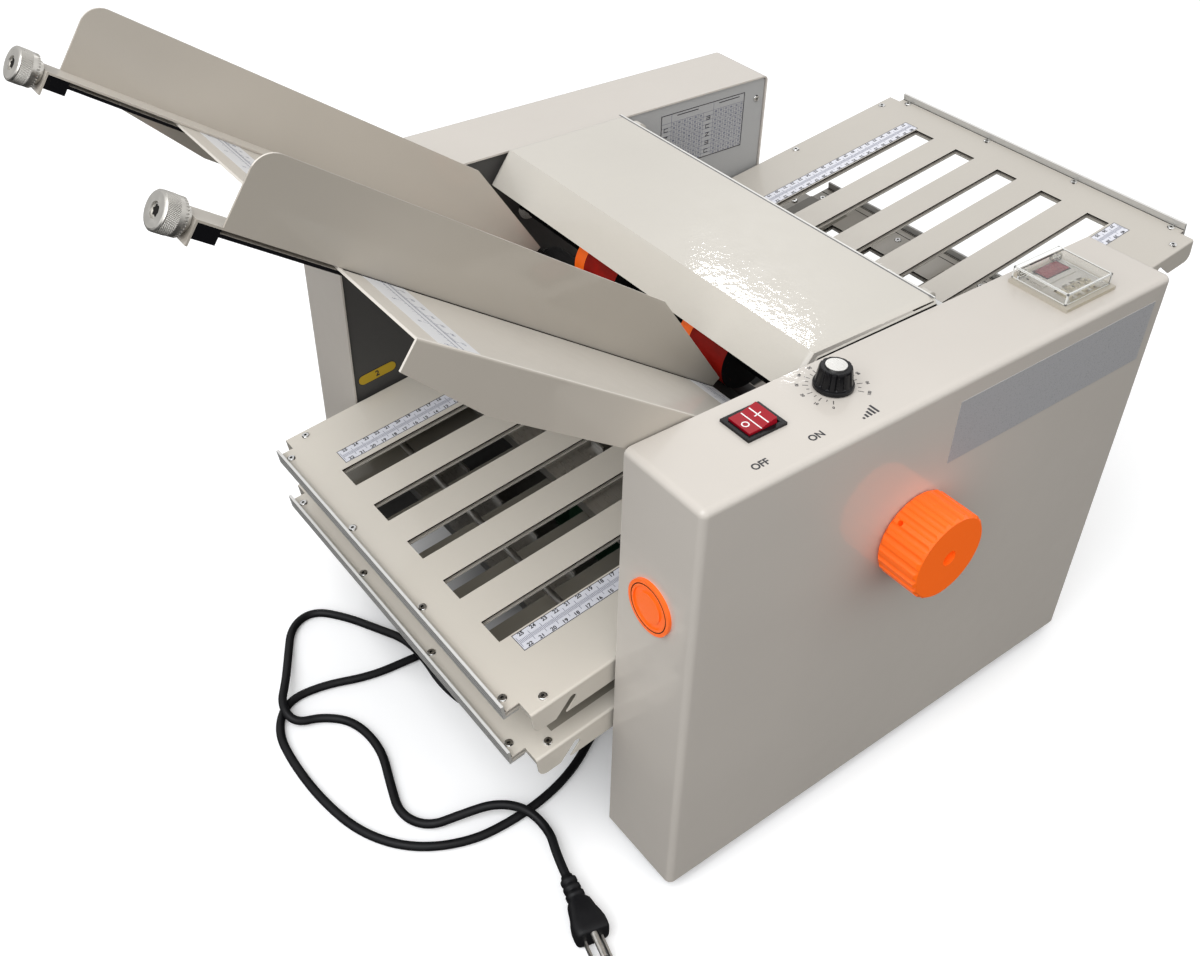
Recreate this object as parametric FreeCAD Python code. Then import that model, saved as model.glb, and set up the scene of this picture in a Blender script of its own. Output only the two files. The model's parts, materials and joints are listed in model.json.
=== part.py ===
import FreeCAD, Part
import math
import os

# Desk paper folding machine: two side housings, a sloping feed table with two side guides, feed
# wheels, six fold rollers in a gear train, four slotted fold trays, a hinged top cover, a handwheel,
# a speed knob, a rocker switch, a counter and a mains lead. Millimetres. The origin is on the floor
# at the centre of the housings' footprint, +X runs back from the feed table, +Z is up.

# Housings and frame plates
HOUSING_LENGTH = 450.0
MACHINE_WIDTH = 508.0
HOUSING_WIDTH = 72.0
HOUSING_HEIGHT = 360.0
HOUSING_WALL = 1.5
HOUSING_BEND = 5.0
FRAME_PLATE = 6.0
FRAME_INSET = 1.5
FRAME_GAP = 0.8
FRAME_FLANGE = 45.0
FRAME_FLANGE_PLATE = 3.0
FRAME_SCREW_INSET_X = 11.5
FRAME_SCREW_INSET_Z = 20.5
FOOT_HEIGHT = 12.0
FOOT_RADIUS = 15.0
FOOT_INSET = 7.5
FOOT_CHAMFER = 2.0
BASE_FRONT_X = -110.0
BASE_REAR_X = 200.0
BASE_LIFT = 6.0
BASE_PLATE = 2.0
BASE_LIP = 14.0
TIE_RADIUS = 5.0
TIE_HEIGHT = 60.0
TIE_FRONT_INSET = 70.0
TIE_REAR_INSET = 30.0

# Fits and cuts
OVERRUN = 5.0
RUNNING_CLEARANCE = 0.05
MOVING_GAP = 0.3
SEAT_GAP = 0.2

# Fold rollers and their gears
ROLLER_X = -28.5
ROLLER_HEIGHT_SHARE = 0.680556
ROLLER_RADIUS = 15.0
ROLLER_SIDE_GAP = 7.5
ROLLER_SLEEVE = 4.0
SLEEVE_SETBACK = 2.0
NIP_GAP = 0.3
ZIGZAG_ANGLE = 34.36
JOURNAL_RADIUS = 5.0
JOURNAL_END = 2.0
BEARING_RADIUS = 11.0
GEAR_WIDTH = 8.0
GEAR_STANDOFF = 3.5
ROLLER_TEETH = 30
FIRST_TEETH = 34
IDLER_TEETH = 30
FEED_TEETH = 24
ADDENDUM_SHARE = 0.7
DEDENDUM_SHARE = 1.1
tooth_shares = (
    (-0.24, -DEDENDUM_SHARE), (-0.10, ADDENDUM_SHARE), (0.10, ADDENDUM_SHARE), (0.24, -DEDENDUM_SHARE),
)
FEED_TRAIN_LEAN = 15.0
IDLER_ANGLE = 7.6
FEED_ANGLE = -9.1

# Feed shaft and wheels
FEED_SHAFT_RADIUS = 6.0
FEED_WHEEL_RADIUS = 24.0
FEED_TYRE = 5.0
FEED_TYRE_WIDTH = 38.0
FEED_RING_WIDTH = 12.0
FEED_RING_LIP = 1.0
feed_wheel_edge_shares = (0.4091, -0.3239)
FEED_LIFT = 0.8
FEED_SETBACK = 4.0

# Feed table and side guides
TABLE_ANGLE = 34.7
TABLE_LENGTH = 362.0
TABLE_SIDE_GAP = 3.0
TABLE_PLATE = 1.5
SKIRT_DEPTH = 31.0
SKIRT_FRONT_DEPTH = 19.0
SKIRT_TAPER = 67.0
TABLE_ROD_RADIUS = 4.0
TABLE_ROD_DROP = 12.0
TABLE_ROD_INSETS = (137.0, 27.0)
GUIDE_SHEET = 1.2
GUIDE_HEIGHT = 44.0
GUIDE_OUT = 67.8
GUIDE_SLANT_INSET = 123.3
GUIDE_TIP_INSET = 30.7
GUIDE_TIP_HEIGHT = 7.2
GUIDE_TIP_CHAMFER = 2.3
GUIDE_CORNER = 12.0
GUIDE_FLANGE = 20.0
TONGUE_LENGTH = 14.2
TAB_DROP = 12.5
NEAR_GUIDE_SHARE = -0.5651
FAR_GUIDE_SHARE = 0.6759
CLAMP_REACH = 60.0
CLAMP_PLATE = 2.0
BLOCK_LENGTH = 12.5
BLOCK_HEIGHT = 8.5
THUMB_RADIUS = 10.0
THUMB_LENGTH = 11.0
THUMB_COLLAR_RADIUS = 7.0
THUMB_COLLAR = 3.0
THUMB_SHANK_RADIUS = 2.5
THUMB_SHANK = 9.0
THUMB_DROP = 3.0
THUMB_KNURLS = 36
THUMB_KNURL_RADIUS = 0.5

# Fold trays and their stops
TRAY_TILT = 8.26
TRAY_SIDE_GAP = 4.5
TRAY_PLATE = 1.2
TRAY_SPACE = 3.0
TRAY_FLANGE = 20.5
TRAY_BEND = 2.0
TRAY_REACH = 2.0
TRAY_SLOT_END = 241.5
LONG_TRAY_SLOT_END = 386.3
REAR_TRAY_SLOT_END = 259.9
TRAY_MARGIN = 31.5
LONG_TRAY_MARGIN = 38.5
REAR_TRAY_MARGIN = 46.3
TRAY_NOTCH = 13.5
LONG_TRAY_NOTCH = 8.5
REAR_TRAY_NOTCH = 26.0
TRAY_NOTCH_WIDTH = 14.0
TRAY_FLANGE_CORNER = 7.0
TRAY_BRIDGE = 12.0
SLOT_COUNT = 5
SLOT_PITCH_SHARE = 0.2866
SLOT_WIDTH_SHARE = 0.1302
SPACER_WIDTH = 9.8
LOWER_TRAY_SHIFT = 3.5
LONG_TRAY_RISE = 8.35
LONG_TRAY_START = 16.5
HOOK_WIDTH = 6.0
HOOK_OFFSET = 4.0
HOOK_RUN = 11.0
HOOK_TOP = 10.0
HOOK_INNER = 28.0
TRAY_ROD_RADIUS = 2.75
TRAY_ROD_PLACE = 180.0
LONG_TRAY_ROD_PLACE = 205.0
CHANNEL_LIP = 6.0
CHANNEL_WALL = 2.2
CHANNEL_LEG = 10.0
CHANNEL_LEG_PLATE = 1.4
STOP_WIDTH = 46.0
STOP_SPAN_SHARE = 0.838
STOP_SHEET = 1.5
STOP_DEPTH = 10.3
STOP_FINGER_WIDTH = 16.0
STOP_FINGER_TOP = 0.4
stop_place_shares = {1: 0.37, 2: 0.29, 3: 0.385, 4: 0.5755}
SCREW_RADIUS = 3.2
SCREW_HEAD = 1.3
SCREW_RECESS = 1.2
TRAY_SCREW_INSET = 7.0
REAR_TRAY_SCREW_INSET = 20.1
tray_screw_row_shares = (0.865, 0.288)
TRAY_CORNER_SCREW = 3.0
LONG_CORNER_SCREW = 11.0
TRAY_SIDE_SCREW_INSET = 7.5
LONG_SIDE_SCREW = 108.8

# Paper chutes, motor and belt
CHUTE_PLATE = 1.2
entry_chute_shares = ((-1.66, 1.74), (-1.26, 0.29), (-1.15, -0.76), (-0.74, -1.12))
exit_chute_shares = ((1.30, 0.10), (3.20, -0.25))
EXIT_END_X = 200.0
MOTOR_ROOM_SHARE = 0.3945
MOTOR_LENGTH = 108.0
MOTOR_X = 120.0
MOTOR_GAP = 3.2
MOTOR_SHAFT_RADIUS = 4.0
MOTOR_BORE_DEPTH = 30.0
MOTOR_BELL = 8.0
MOTOR_BELL_STEP = 3.0
SHAFT_PASSAGE = 4.0
PULLEY_WIDTH = 10.0
PULLEY_FLANGE = 1.0
PULLEY_RIM = 3.0
PULLEY_STANDOFF = 5.0
DRIVE_PULLEY_RADIUS = 28.0
MOTOR_PULLEY_RADIUS = 12.0
BELT_THICKNESS = 2.5
BELT_SIDE_GAP = 0.5

# Top cover and its hinge
COVER_SIDE_GAP = 2.5
COVER_FRONT_X = -85.4
COVER_FRONT_DROP = 22.0
COVER_CREASE_X = -67.0
COVER_CREASE_RISE = 4.0
COVER_REAR_X = 50.0
COVER_REAR_RISE = 5.0
COVER_DEPTH = 12.0
COVER_WALL = 1.5
COVER_END_BEND = 8.0
HINGE_ROD_RADIUS = 4.0
HINGE_SETBACK = 6.5
HINGE_DROP = 11.0
EAR_INSET = 16.0
EAR_WIDTH = 8.0
EAR_RADIUS = 7.0

# Handwheel, knob, caps and switch
WHEEL_RADIUS = 33.8
WHEEL_LENGTH = 34.6
WHEEL_GAP = 0.7
WHEEL_FLUTES = 24
FLUTE_RADIUS = 3.2
FLUTE_DEPTH = 1.8
WHEEL_CHAMFER = 2.0
WHEEL_RECESS_RADIUS = 6.0
WHEEL_RECESS_DEPTH = 9.0
WHEEL_SHAFT_HOLE_GAP = 2.0
SET_SCREW_RADIUS = 2.0
SET_SCREW_INSET = 7.0
CAP_SIDE_INSET = 39.1
CAP_DROP = 104.0
CAP_RADIUS = 20.0
CAP_FACE = 2.5
CAP_COLLAR_RADIUS = 15.7
CAP_COLLAR_DEPTH = 6.0
CAP_GROOVE_OUTER = 15.0
CAP_GROOVE_INNER = 11.0
CAP_GROOVE_DEPTH = 1.0
KNOB_FRONT_INSET = 146.0
KNOB_SIDE_INSET = 45.7
KNOB_RADIUS = 13.5
KNOB_TOP_RADIUS = 10.5
KNOB_BASE_HEIGHT = 3.5
KNOB_HEIGHT = 15.4
KNOB_FLUTES = 18
KNOB_FLUTE_RADIUS = 1.1
KNOB_SHAFT_RADIUS = 3.0
KNOB_SHAFT_LENGTH = 12.0
KNOB_CAP_RADIUS = 7.0
KNOB_CAP_HEIGHT = 1.0
CONTROL_RADIUS = 12.0
CONTROL_HEIGHT = 12.0
SWITCH_FRONT_INSET = 78.8
SWITCH_SIDE_INSET = 46.3
SWITCH_LENGTH = 31.5
SWITCH_WIDTH = 26.2
SWITCH_RIM = 2.0
SWITCH_RIM_WIDTH = 3.2
SWITCH_DEPTH = 22.0
SWITCH_WALL = 1.5
ROCKER_ANGLE = 8.0
ROCKER_RISE = 3.0
ROCKER_DIP = 1.2
ROCKER_BELLY = 8.0
ROCKER_PIN_RADIUS = 1.5

# Counter
COUNTER_REAR_INSET = 81.25
COUNTER_SIDE_INSET = 38.5
COUNTER_LENGTH = 56.5
COUNTER_WIDTH = 51.0
COUNTER_RIM = 3.0
COUNTER_DEPTH = 24.0
COUNTER_WALL = 2.0
COUNTER_PANEL = 2.0
DISPLAY_LENGTH = 36.0
DISPLAY_WIDTH = 13.0
DISPLAY_RISE = 1.0
DISPLAY_OFFSET = 9.0
COUNTER_WHEELS = 4
COUNTER_WHEEL_RADIUS = 7.0
COUNTER_WHEEL_WIDTH = 5.0
COUNTER_WHEEL_PITCH = 8.5
COUNTER_WHEEL_OFFSET = -11.0
COUNTER_WHEEL_RISE = 2.5
COUNTER_COGS = 10
COUNTER_COG_RADIUS = 0.9
LID_LENGTH = 51.0
LID_WIDTH = 47.0
LID_WALL = 1.2
LID_HEIGHT = 9.0
LID_KNUCKLE_RADIUS = 2.2
LID_PIN_RADIUS = 1.0
LID_KNUCKLE_WIDTH = 6.0
LID_LUG_GAP = 0.4
LID_LUG_WIDTH = 3.0

# Control board
BOARD_X = -20.0
BOARD_Y = 70.0
BOARD_LENGTH = 110.0
BOARD_WIDTH = 80.0
BOARD_PLATE = 1.6
BOARD_POST_RADIUS = 3.0
BOARD_POST_HEIGHT = 8.0
BOARD_POST_INSET = 6.0
TRANSFORMER_LENGTH = 45.0
TRANSFORMER_WIDTH = 40.0
TRANSFORMER_HEIGHT = 35.0
TRANSFORMER_OFFSET = 25.0
CAPACITOR_RADIUS = 8.0
CAPACITOR_HEIGHT = 22.0
CAPACITOR_OFFSET = 30.0
CAPACITOR_SPREAD = 20.0

# Mains lead, its gland and plug
CORD_RADIUS = 3.5
ARC_SHARE = 0.45
GLAND_X = -124.0
GLAND_Z = 24.0
GLAND_FLANGE_RADIUS = 10.0
GLAND_FLANGE = 3.0
GLAND_LENGTH = 33.0
GLAND_WIDE_RADIUS = 7.0
GLAND_NARROW_RADIUS = 4.6
PLUG_LENGTH = 28.0
PLUG_NECK_LENGTH = 24.0
PLUG_NECK_RADIUS = 4.6
PLUG_SHOULDER_RADIUS = 7.0
PLUG_WIDTH = 26.0
PLUG_WAIST = 17.0
PLUG_THICKNESS = 20.0
PLUG_BEVEL = 2.5
PRONG_LENGTH = 17.5
PRONG_PITCH = 12.7
PRONG_WIDTH = 6.3
PRONG_THICKNESS = 1.5
GROUND_RADIUS = 2.4
GROUND_LENGTH = 20.0
GROUND_RISE = 5.5
PRONG_DROP = 4.0
PLUG_TURN = -104.0

# The lead's route: from the gland down to the floor, out under the trays, in loops, to the plug
CORD_ROUTE = (
    (-124.0, -150.5, 24.0), (-124.0, -128.0, 24.0), (-135.0, -108.0, 17.0), (-156.0, -98.0, 8.0),
    (-182.0, -104.0, 3.5), (-212.0, -122.0, 3.5), (-246.0, -133.0, 3.5), (-284.0, -136.0, 3.5),
    (-320.0, -132.0, 3.5), (-356.0, -112.0, 3.5), (-380.0, -78.0, 3.5), (-390.0, -34.0, 3.5),
    (-392.0, 12.0, 3.5), (-388.0, 48.0, 3.5), (-368.0, 72.0, 3.5), (-336.0, 70.0, 3.5),
    (-299.0, 55.0, 3.5), (-260.0, 52.0, 3.5), (-222.0, 48.0, 3.5), (-190.0, 34.0, 3.5),
    (-175.0, 4.0, 3.5), (-187.0, -28.0, 3.5), (-218.0, -41.0, 3.5), (-249.0, -27.0, 4.0),
    (-258.0, 6.0, 9.0), (-256.0, 38.0, 13.0), (-258.0, 68.0, 12.0), (-268.0, 98.0, 5.0),
    (-284.0, 130.0, 3.5), (-304.0, 153.0, 3.5), (-328.0, 146.0, 3.5), (-346.0, 114.0, 6.0),
    (-362.0, 84.0, 12.0), (-376.0, 64.0, 12.0), (-374.0, 45.0, 6.0), (-352.0, 40.0, 3.5),
    (-333.0, 20.0, 3.5), (-329.0, -16.0, 3.5), (-340.0, -50.0, 3.5), (-349.0, -80.0, 3.5),
    (-337.0, -103.0, 4.0), (-312.0, -110.0, 7.0), (-287.0, -120.0, 12.0), (-270.0, -138.0, 11.0),
    (-266.0, -162.0, 6.0), (-275.2, -183.6, 10.0), (-280.0, -203.0, 10.0),
)

# Worked-out places
half_length = HOUSING_LENGTH / 2
half_width = MACHINE_WIDTH / 2
inner_y = half_width - HOUSING_WIDTH
base_z = FOOT_HEIGHT
top_z = FOOT_HEIGHT + HOUSING_HEIGHT
floor_z = base_z + HOUSING_WALL
frame_in_y = inner_y + FRAME_INSET
frame_out_y = frame_in_y + FRAME_PLATE
frame_half_length = half_length - HOUSING_WALL - FRAME_GAP
frame_top_z = top_z - HOUSING_WALL - FRAME_GAP
gear_in_y = frame_out_y + GEAR_STANDOFF
gear_out_y = gear_in_y + GEAR_WIDTH
pulley_in_y = gear_out_y + PULLEY_STANDOFF
pulley_out_y = pulley_in_y + PULLEY_WIDTH
roller_step = 2 * ROLLER_RADIUS + NIP_GAP
module = 2 * roller_step / (ROLLER_TEETH + ROLLER_TEETH)
first_step = module * (FIRST_TEETH + ROLLER_TEETH) / 2
first_radius = first_step - ROLLER_RADIUS - NIP_GAP
roller_half = frame_in_y - ROLLER_SIDE_GAP
roller_z = base_z + ROLLER_HEIGHT_SHARE * HOUSING_HEIGHT
table_half = frame_in_y - TABLE_SIDE_GAP
guide_tip = TABLE_LENGTH - GUIDE_TIP_INSET
table_rod_places = [TABLE_LENGTH - inset for inset in TABLE_ROD_INSETS]
tray_half = frame_in_y - TRAY_SIDE_GAP
slot_pitch = SLOT_PITCH_SHARE * tray_half
slot_width = SLOT_WIDTH_SHARE * tray_half
stop_half_span = STOP_SPAN_SHARE * tray_half
cover_half = frame_in_y - COVER_SIDE_GAP
cover_front_z = top_z - COVER_FRONT_DROP
cover_crease_z = top_z + COVER_CREASE_RISE
cover_rear_z = top_z + COVER_REAR_RISE
cap_y = -half_width + CAP_SIDE_INSET
cap_z = top_z - CAP_DROP
knob_x = -half_length + KNOB_FRONT_INSET
knob_y = -half_width + KNOB_SIDE_INSET
switch_x = -half_length + SWITCH_FRONT_INSET
switch_y = -half_width + SWITCH_SIDE_INSET
counter_x = half_length - COUNTER_REAR_INSET
counter_y = -half_width + COUNTER_SIDE_INSET
foot_x = half_length - FOOT_INSET - FOOT_RADIUS
foot_y = half_width - FOOT_INSET - FOOT_RADIUS
base_plate_z = floor_z + BASE_LIFT
board_base_z = base_plate_z + BASE_PLATE
level_step = roller_step * math.cos(math.radians(ZIGZAG_ANGLE))
zigzag = roller_step * math.sin(math.radians(ZIGZAG_ANGLE))
paper_level = -(TRAY_PLATE + TRAY_SPACE / 2)
second_level = paper_level + level_step / 2
first_level = second_level + first_step
roller_line = TRAY_SLOT_END + ROLLER_RADIUS - TRAY_REACH
tilt = math.radians(TRAY_TILT)
tray_along = (math.cos(tilt), math.sin(tilt))
tray_up = (-math.sin(tilt), math.cos(tilt))
tray_origin = (
    ROLLER_X - roller_line * tray_along[0] - first_level * tray_up[0],
    roller_z - roller_line * tray_along[1] - first_level * tray_up[1],
)
slope = math.radians(TABLE_ANGLE)
table_along = (math.cos(slope), -math.sin(slope))
table_up = (math.sin(slope), math.cos(slope))
guide_data = (("near", NEAR_GUIDE_SHARE, 1), ("far", FAR_GUIDE_SHARE, -1))

V = FreeCAD.Vector
nodes = {}


# Shape helpers
def box(x0, x1, y0, y1, z0, z1):
    low = V(min(x0, x1), min(y0, y1), min(z0, z1))
    return Part.makeBox(abs(x1 - x0), abs(y1 - y0), abs(z1 - z0), low)


def rod_x(y, z, radius, x0, x1):
    return Part.makeCylinder(radius, abs(x1 - x0), V(min(x0, x1), y, z), V(1, 0, 0))


def rod_y(x, z, radius, y0, y1):
    return Part.makeCylinder(radius, abs(y1 - y0), V(x, min(y0, y1), z), V(0, 1, 0))


def rod_z(x, y, radius, z0, z1):
    return Part.makeCylinder(radius, abs(z1 - z0), V(x, y, min(z0, z1)), V(0, 0, 1))


def ring_y(x, z, radius, bore, y0, y1):
    hole = rod_y(x, z, bore, min(y0, y1) - OVERRUN, max(y0, y1) + OVERRUN)
    return rod_y(x, z, radius, y0, y1).cut(hole)


def prism(points, move):
    wire = Part.makePolygon(list(points) + [points[0]])
    return Part.Face(wire).extrude(move)


def prism_y(points, y0, y1):
    return prism([V(x, y0, z) for x, z in points], V(0, y1 - y0, 0))


def prism_z(points, z0, z1):
    return prism([V(x, y, z0) for x, y in points], V(0, 0, z1 - z0))


def join(shapes):
    whole = shapes[0]
    for shape in shapes[1:]:
        whole = whole.fuse(shape)
    return whole.removeSplitter()


def carve(shape, cuts):
    for cut in cuts:
        shape = shape.cut(cut)
    return shape


def round_edges(shape, radius, wanted):
    edges = [edge for edge in shape.Edges if wanted(edge)]
    return shape.makeFillet(radius, edges)


def runs_along(edge, axis):
    ends = edge.Vertexes
    if len(ends) < 2:
        return False
    step = ends[1].Point - ends[0].Point
    return abs(step.dot(axis)) > 0.999 * step.Length


def edge_at(edge, x=None, y=None, z=None):
    centre = edge.CenterOfMass
    wanted = ((x, centre.x), (y, centre.y), (z, centre.z))
    return all(goal is None or abs(goal - value) < NIP_GAP for goal, value in wanted)


def top_side_edge(edge, half):
    at_side = abs(abs(edge.CenterOfMass.y) - half) < NIP_GAP
    return at_side and edge_at(edge, z=0) and runs_along(edge, V(1, 0, 0))


def crossing_edge(edge, x, z):
    return edge_at(edge, x=x, z=z) and runs_along(edge, V(0, 1, 0))


def placed(shape, place):
    moved = shape.copy()
    moved.Placement = place.multiply(moved.Placement)
    return moved


def put(name, *shapes):
    solids = [solid for shape in shapes for solid in shape.Solids]
    nodes[name] = solids[0] if len(solids) == 1 else Part.makeCompound(solids)


def strip_y(path, thickness, y0, y1):
    upper = [(x, z) for x, z in path]
    lower = []
    for index, (x, z) in enumerate(path):
        before = path[max(index - 1, 0)]
        after = path[min(index + 1, len(path) - 1)]
        length = math.hypot(after[0] - before[0], after[1] - before[1])
        across = thickness / length
        lower.append((x + across * (after[1] - before[1]), z - across * (after[0] - before[0])))
    return prism_y(upper + lower[::-1], y0, y1)


# Places on the trays' and the table's own axes
def tray_point(s, h):
    return tuple(tray_origin[i] + s * tray_along[i] + h * tray_up[i] for i in range(2))


def at_tray(s, h, outward):
    x, z = tray_point(s, h)
    turn = FreeCAD.Rotation(V(0, 1, 0), -TRAY_TILT)
    if outward < 0:
        turn = turn.multiply(FreeCAD.Rotation(V(0, 0, 1), 180))
    return FreeCAD.Placement(V(x, 0, z), turn)


# Roller, idler and feed shaft centres
def roller_centres():
    places = [(0, first_level), (0, second_level)]
    for index in range(4):
        offset = zigzag if index % 2 == 0 else 0
        places.append((offset, second_level - (index + 1) * level_step))
    return [tray_point(roller_line + p, h) for p, h in places]


centres = roller_centres()


def stepped(start, distance, angle):
    lean = math.radians(angle)
    return (start[0] - distance * math.sin(lean), start[1] + distance * math.cos(lean))


idler_step = module * (FIRST_TEETH + IDLER_TEETH) / 2
feed_step = module * (IDLER_TEETH + FEED_TEETH) / 2
idler_centre = stepped(centres[0], idler_step, FEED_TRAIN_LEAN + IDLER_ANGLE)
feed_centre = stepped(idler_centre, feed_step, FEED_TRAIN_LEAN + FEED_ANGLE)
wheel_place = (TABLE_LENGTH - FEED_SETBACK, FEED_WHEEL_RADIUS + FEED_LIFT)
table_origin = tuple(
    feed_centre[i] - wheel_place[0] * table_along[i] - wheel_place[1] * table_up[i] for i in range(2)
)
table_turn = FreeCAD.Rotation(V(0, 1, 0), TABLE_ANGLE)
at_table = FreeCAD.Placement(V(table_origin[0], 0, table_origin[1]), table_turn)


def table_point(s, h):
    return tuple(table_origin[i] + s * table_along[i] + h * table_up[i] for i in range(2))


cover_rod = (COVER_REAR_X + HINGE_SETBACK, cover_rear_z - HINGE_DROP)
exit_z = centres[5][1] + exit_chute_shares[1][1] * ROLLER_RADIUS
motor_top = exit_z - CHUTE_PLATE - MOTOR_GAP
motor_radius = MOTOR_ROOM_SHARE * (motor_top - board_base_z)
motor_centre = (MOTOR_X, motor_top - motor_radius)
thumb_wheel_axis = (
    counter_y + COUNTER_WHEEL_OFFSET, top_z + COUNTER_RIM + COUNTER_WHEEL_RISE - COUNTER_WHEEL_RADIUS,
)
lid_hinge = (
    counter_y + COUNTER_WIDTH / 2 - LID_KNUCKLE_RADIUS,
    top_z + COUNTER_RIM + LID_KNUCKLE_RADIUS + MOVING_GAP,
)
rocker_pin_z = top_z - ROCKER_BELLY / 2


# Housings
def housing(side, cuts):
    y_in = side * inner_y
    y_out = side * half_width
    outer = box(-half_length, half_length, y_in, y_out, base_z, top_z)

    def bent(edge, y, z):
        along_top = edge_at(edge, y=y, z=z) and runs_along(edge, V(1, 0, 0))
        across_top = edge_at(edge, z=z) and runs_along(edge, V(0, 1, 0))
        upright = edge_at(edge, y=y) and runs_along(edge, V(0, 0, 1))
        return along_top or across_top or upright

    outer = round_edges(outer, HOUSING_BEND, lambda edge: bent(edge, y_out, top_z))
    y_skin = y_out - side * HOUSING_WALL
    z_skin = top_z - HOUSING_WALL
    x_skin = half_length - HOUSING_WALL
    inner = box(-x_skin, x_skin, y_in - side * OVERRUN, y_skin, floor_z, z_skin)
    inner = round_edges(inner, HOUSING_BEND - HOUSING_WALL, lambda edge: bent(edge, y_skin, z_skin))
    return carve(outer.cut(inner), cuts)


def switch_opening(gap, z0, z1):
    reach_x = SWITCH_LENGTH / 2 - SWITCH_RIM_WIDTH + SWITCH_WALL + gap
    reach_y = SWITCH_WIDTH / 2 - SWITCH_RIM_WIDTH + SWITCH_WALL + gap
    return box(switch_x - reach_x, switch_x + reach_x, switch_y - reach_y, switch_y + reach_y, z0, z1)


def counter_box(inset, z0, z1):
    reach_x = COUNTER_LENGTH / 2 - inset
    reach_y = COUNTER_WIDTH / 2 - inset
    return box(counter_x - reach_x, counter_x + reach_x, counter_y - reach_y, counter_y + reach_y, z0, z1)


def make_housings():
    skin = (top_z - HOUSING_WALL - OVERRUN, top_z + OVERRUN)
    wheel_hole = JOURNAL_RADIUS + WHEEL_SHAFT_HOLE_GAP
    near_cuts = (
        rod_z(knob_x, knob_y, KNOB_SHAFT_RADIUS + MOVING_GAP, *skin),
        switch_opening(SEAT_GAP, *skin),
        counter_box(COUNTER_WALL - SEAT_GAP, *skin),
        rod_y(centres[0][0], centres[0][1], wheel_hole, -half_width - OVERRUN, -half_width + OVERRUN),
        rod_x(cap_y, cap_z, CAP_COLLAR_RADIUS + SEAT_GAP, -half_length - OVERRUN, -half_length + OVERRUN),
    )
    put("near_housing", housing(-1, near_cuts))
    put("far_housing", housing(1, ()))


# Frame plates with their flanges, bearings and screws
def bearing_places():
    return centres + [feed_centre]


def frame_plate(side, cuts):
    y_in = side * frame_in_y
    y_out = side * frame_out_y
    plate = box(-frame_half_length, frame_half_length, y_in, y_out, floor_z, frame_top_z)
    corner = HOUSING_BEND - HOUSING_WALL - FRAME_GAP
    plate = round_edges(plate, corner, lambda e: edge_at(e, z=frame_top_z) and runs_along(e, V(0, 1, 0)))
    flange_y = y_out + side * FRAME_FLANGE
    flange_z = floor_z + FRAME_FLANGE_PLATE
    flange = box(-frame_half_length, frame_half_length, y_out, flange_y, floor_z, flange_z)
    holes = [
        rod_y(x, z, BEARING_RADIUS, y_in - side * OVERRUN, y_out + side * OVERRUN)
        for x, z in bearing_places()
    ]
    return carve(join([plate, flange]), holes + list(cuts))


def make_frames():
    room = MOTOR_SHAFT_RADIUS + SHAFT_PASSAGE
    passage = rod_y(*motor_centre, room, -frame_out_y - OVERRUN, -frame_in_y + OVERRUN)
    put("near_frame", frame_plate(-1, (passage,)))
    put("far_frame", frame_plate(1, ()))
    bore = JOURNAL_RADIUS + RUNNING_CLEARANCE
    bearings = [
        ring_y(x, z, BEARING_RADIUS, bore, side * frame_in_y, side * frame_out_y)
        for side in (-1, 1)
        for x, z in bearing_places()
    ]
    put("roller_bearings", *bearings)


def make_feet():
    feet = []
    for side_x in (-1, 1):
        for side_y in (-1, 1):
            x = side_x * foot_x
            y = side_y * foot_y
            foot = rod_z(x, y, FOOT_RADIUS, 0, FOOT_HEIGHT)
            foot = foot.makeChamfer(FOOT_CHAMFER, [e for e in foot.Edges if edge_at(e, z=0)])
            feet.append(foot)
    put("rubber_feet", *feet)


def make_base():
    z0 = base_plate_z
    plate = box(BASE_FRONT_X, BASE_REAR_X, -frame_in_y, frame_in_y, z0, z0 + BASE_PLATE)
    front = box(BASE_FRONT_X, BASE_FRONT_X + BASE_PLATE, -frame_in_y, frame_in_y, z0, z0 + BASE_LIP)
    rear = box(BASE_REAR_X - BASE_PLATE, BASE_REAR_X, -frame_in_y, frame_in_y, z0, z0 + BASE_LIP)
    put("base_plate", join([plate, front, rear]))


# Rods between the frame plates
def cross_rod(x, z, radius):
    return rod_y(x, z, radius, -frame_in_y, frame_in_y)


def tray_rods():
    rods = []
    for number, tray in trays.items():
        sign = tray["outward"]
        carriers = ((tray["rod"], TRAY_FLANGE + TRAY_ROD_RADIUS), (HOOK_INNER + HOOK_RUN, HOOK_TOP))
        for place, drop in carriers:
            x, z = tray_point(tray["start"] + sign * place, tray["level"] - drop)
            rods.append(cross_rod(x, z, TRAY_ROD_RADIUS))
    return rods


def make_rods():
    ties = [
        cross_rod(-half_length + TIE_FRONT_INSET, TIE_HEIGHT, TIE_RADIUS),
        cross_rod(half_length - TIE_REAR_INSET, TIE_HEIGHT, TIE_RADIUS),
    ]
    table_rods = [cross_rod(*table_point(s, -TABLE_ROD_DROP), TABLE_ROD_RADIUS) for s in table_rod_places]
    stud = rod_y(*idler_centre, JOURNAL_RADIUS, -frame_out_y, -gear_out_y - JOURNAL_END)
    collar_radius = JOURNAL_RADIUS + GEAR_STANDOFF / 2
    collar = ring_y(*idler_centre, collar_radius, JOURNAL_RADIUS, -frame_out_y, -gear_in_y + MOVING_GAP)
    put("tie_rods", *ties, *table_rods, *tray_rods(), join([stud, collar]))
    put("cover_hinge_rod", cross_rod(*cover_rod, HINGE_ROD_RADIUS))


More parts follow.
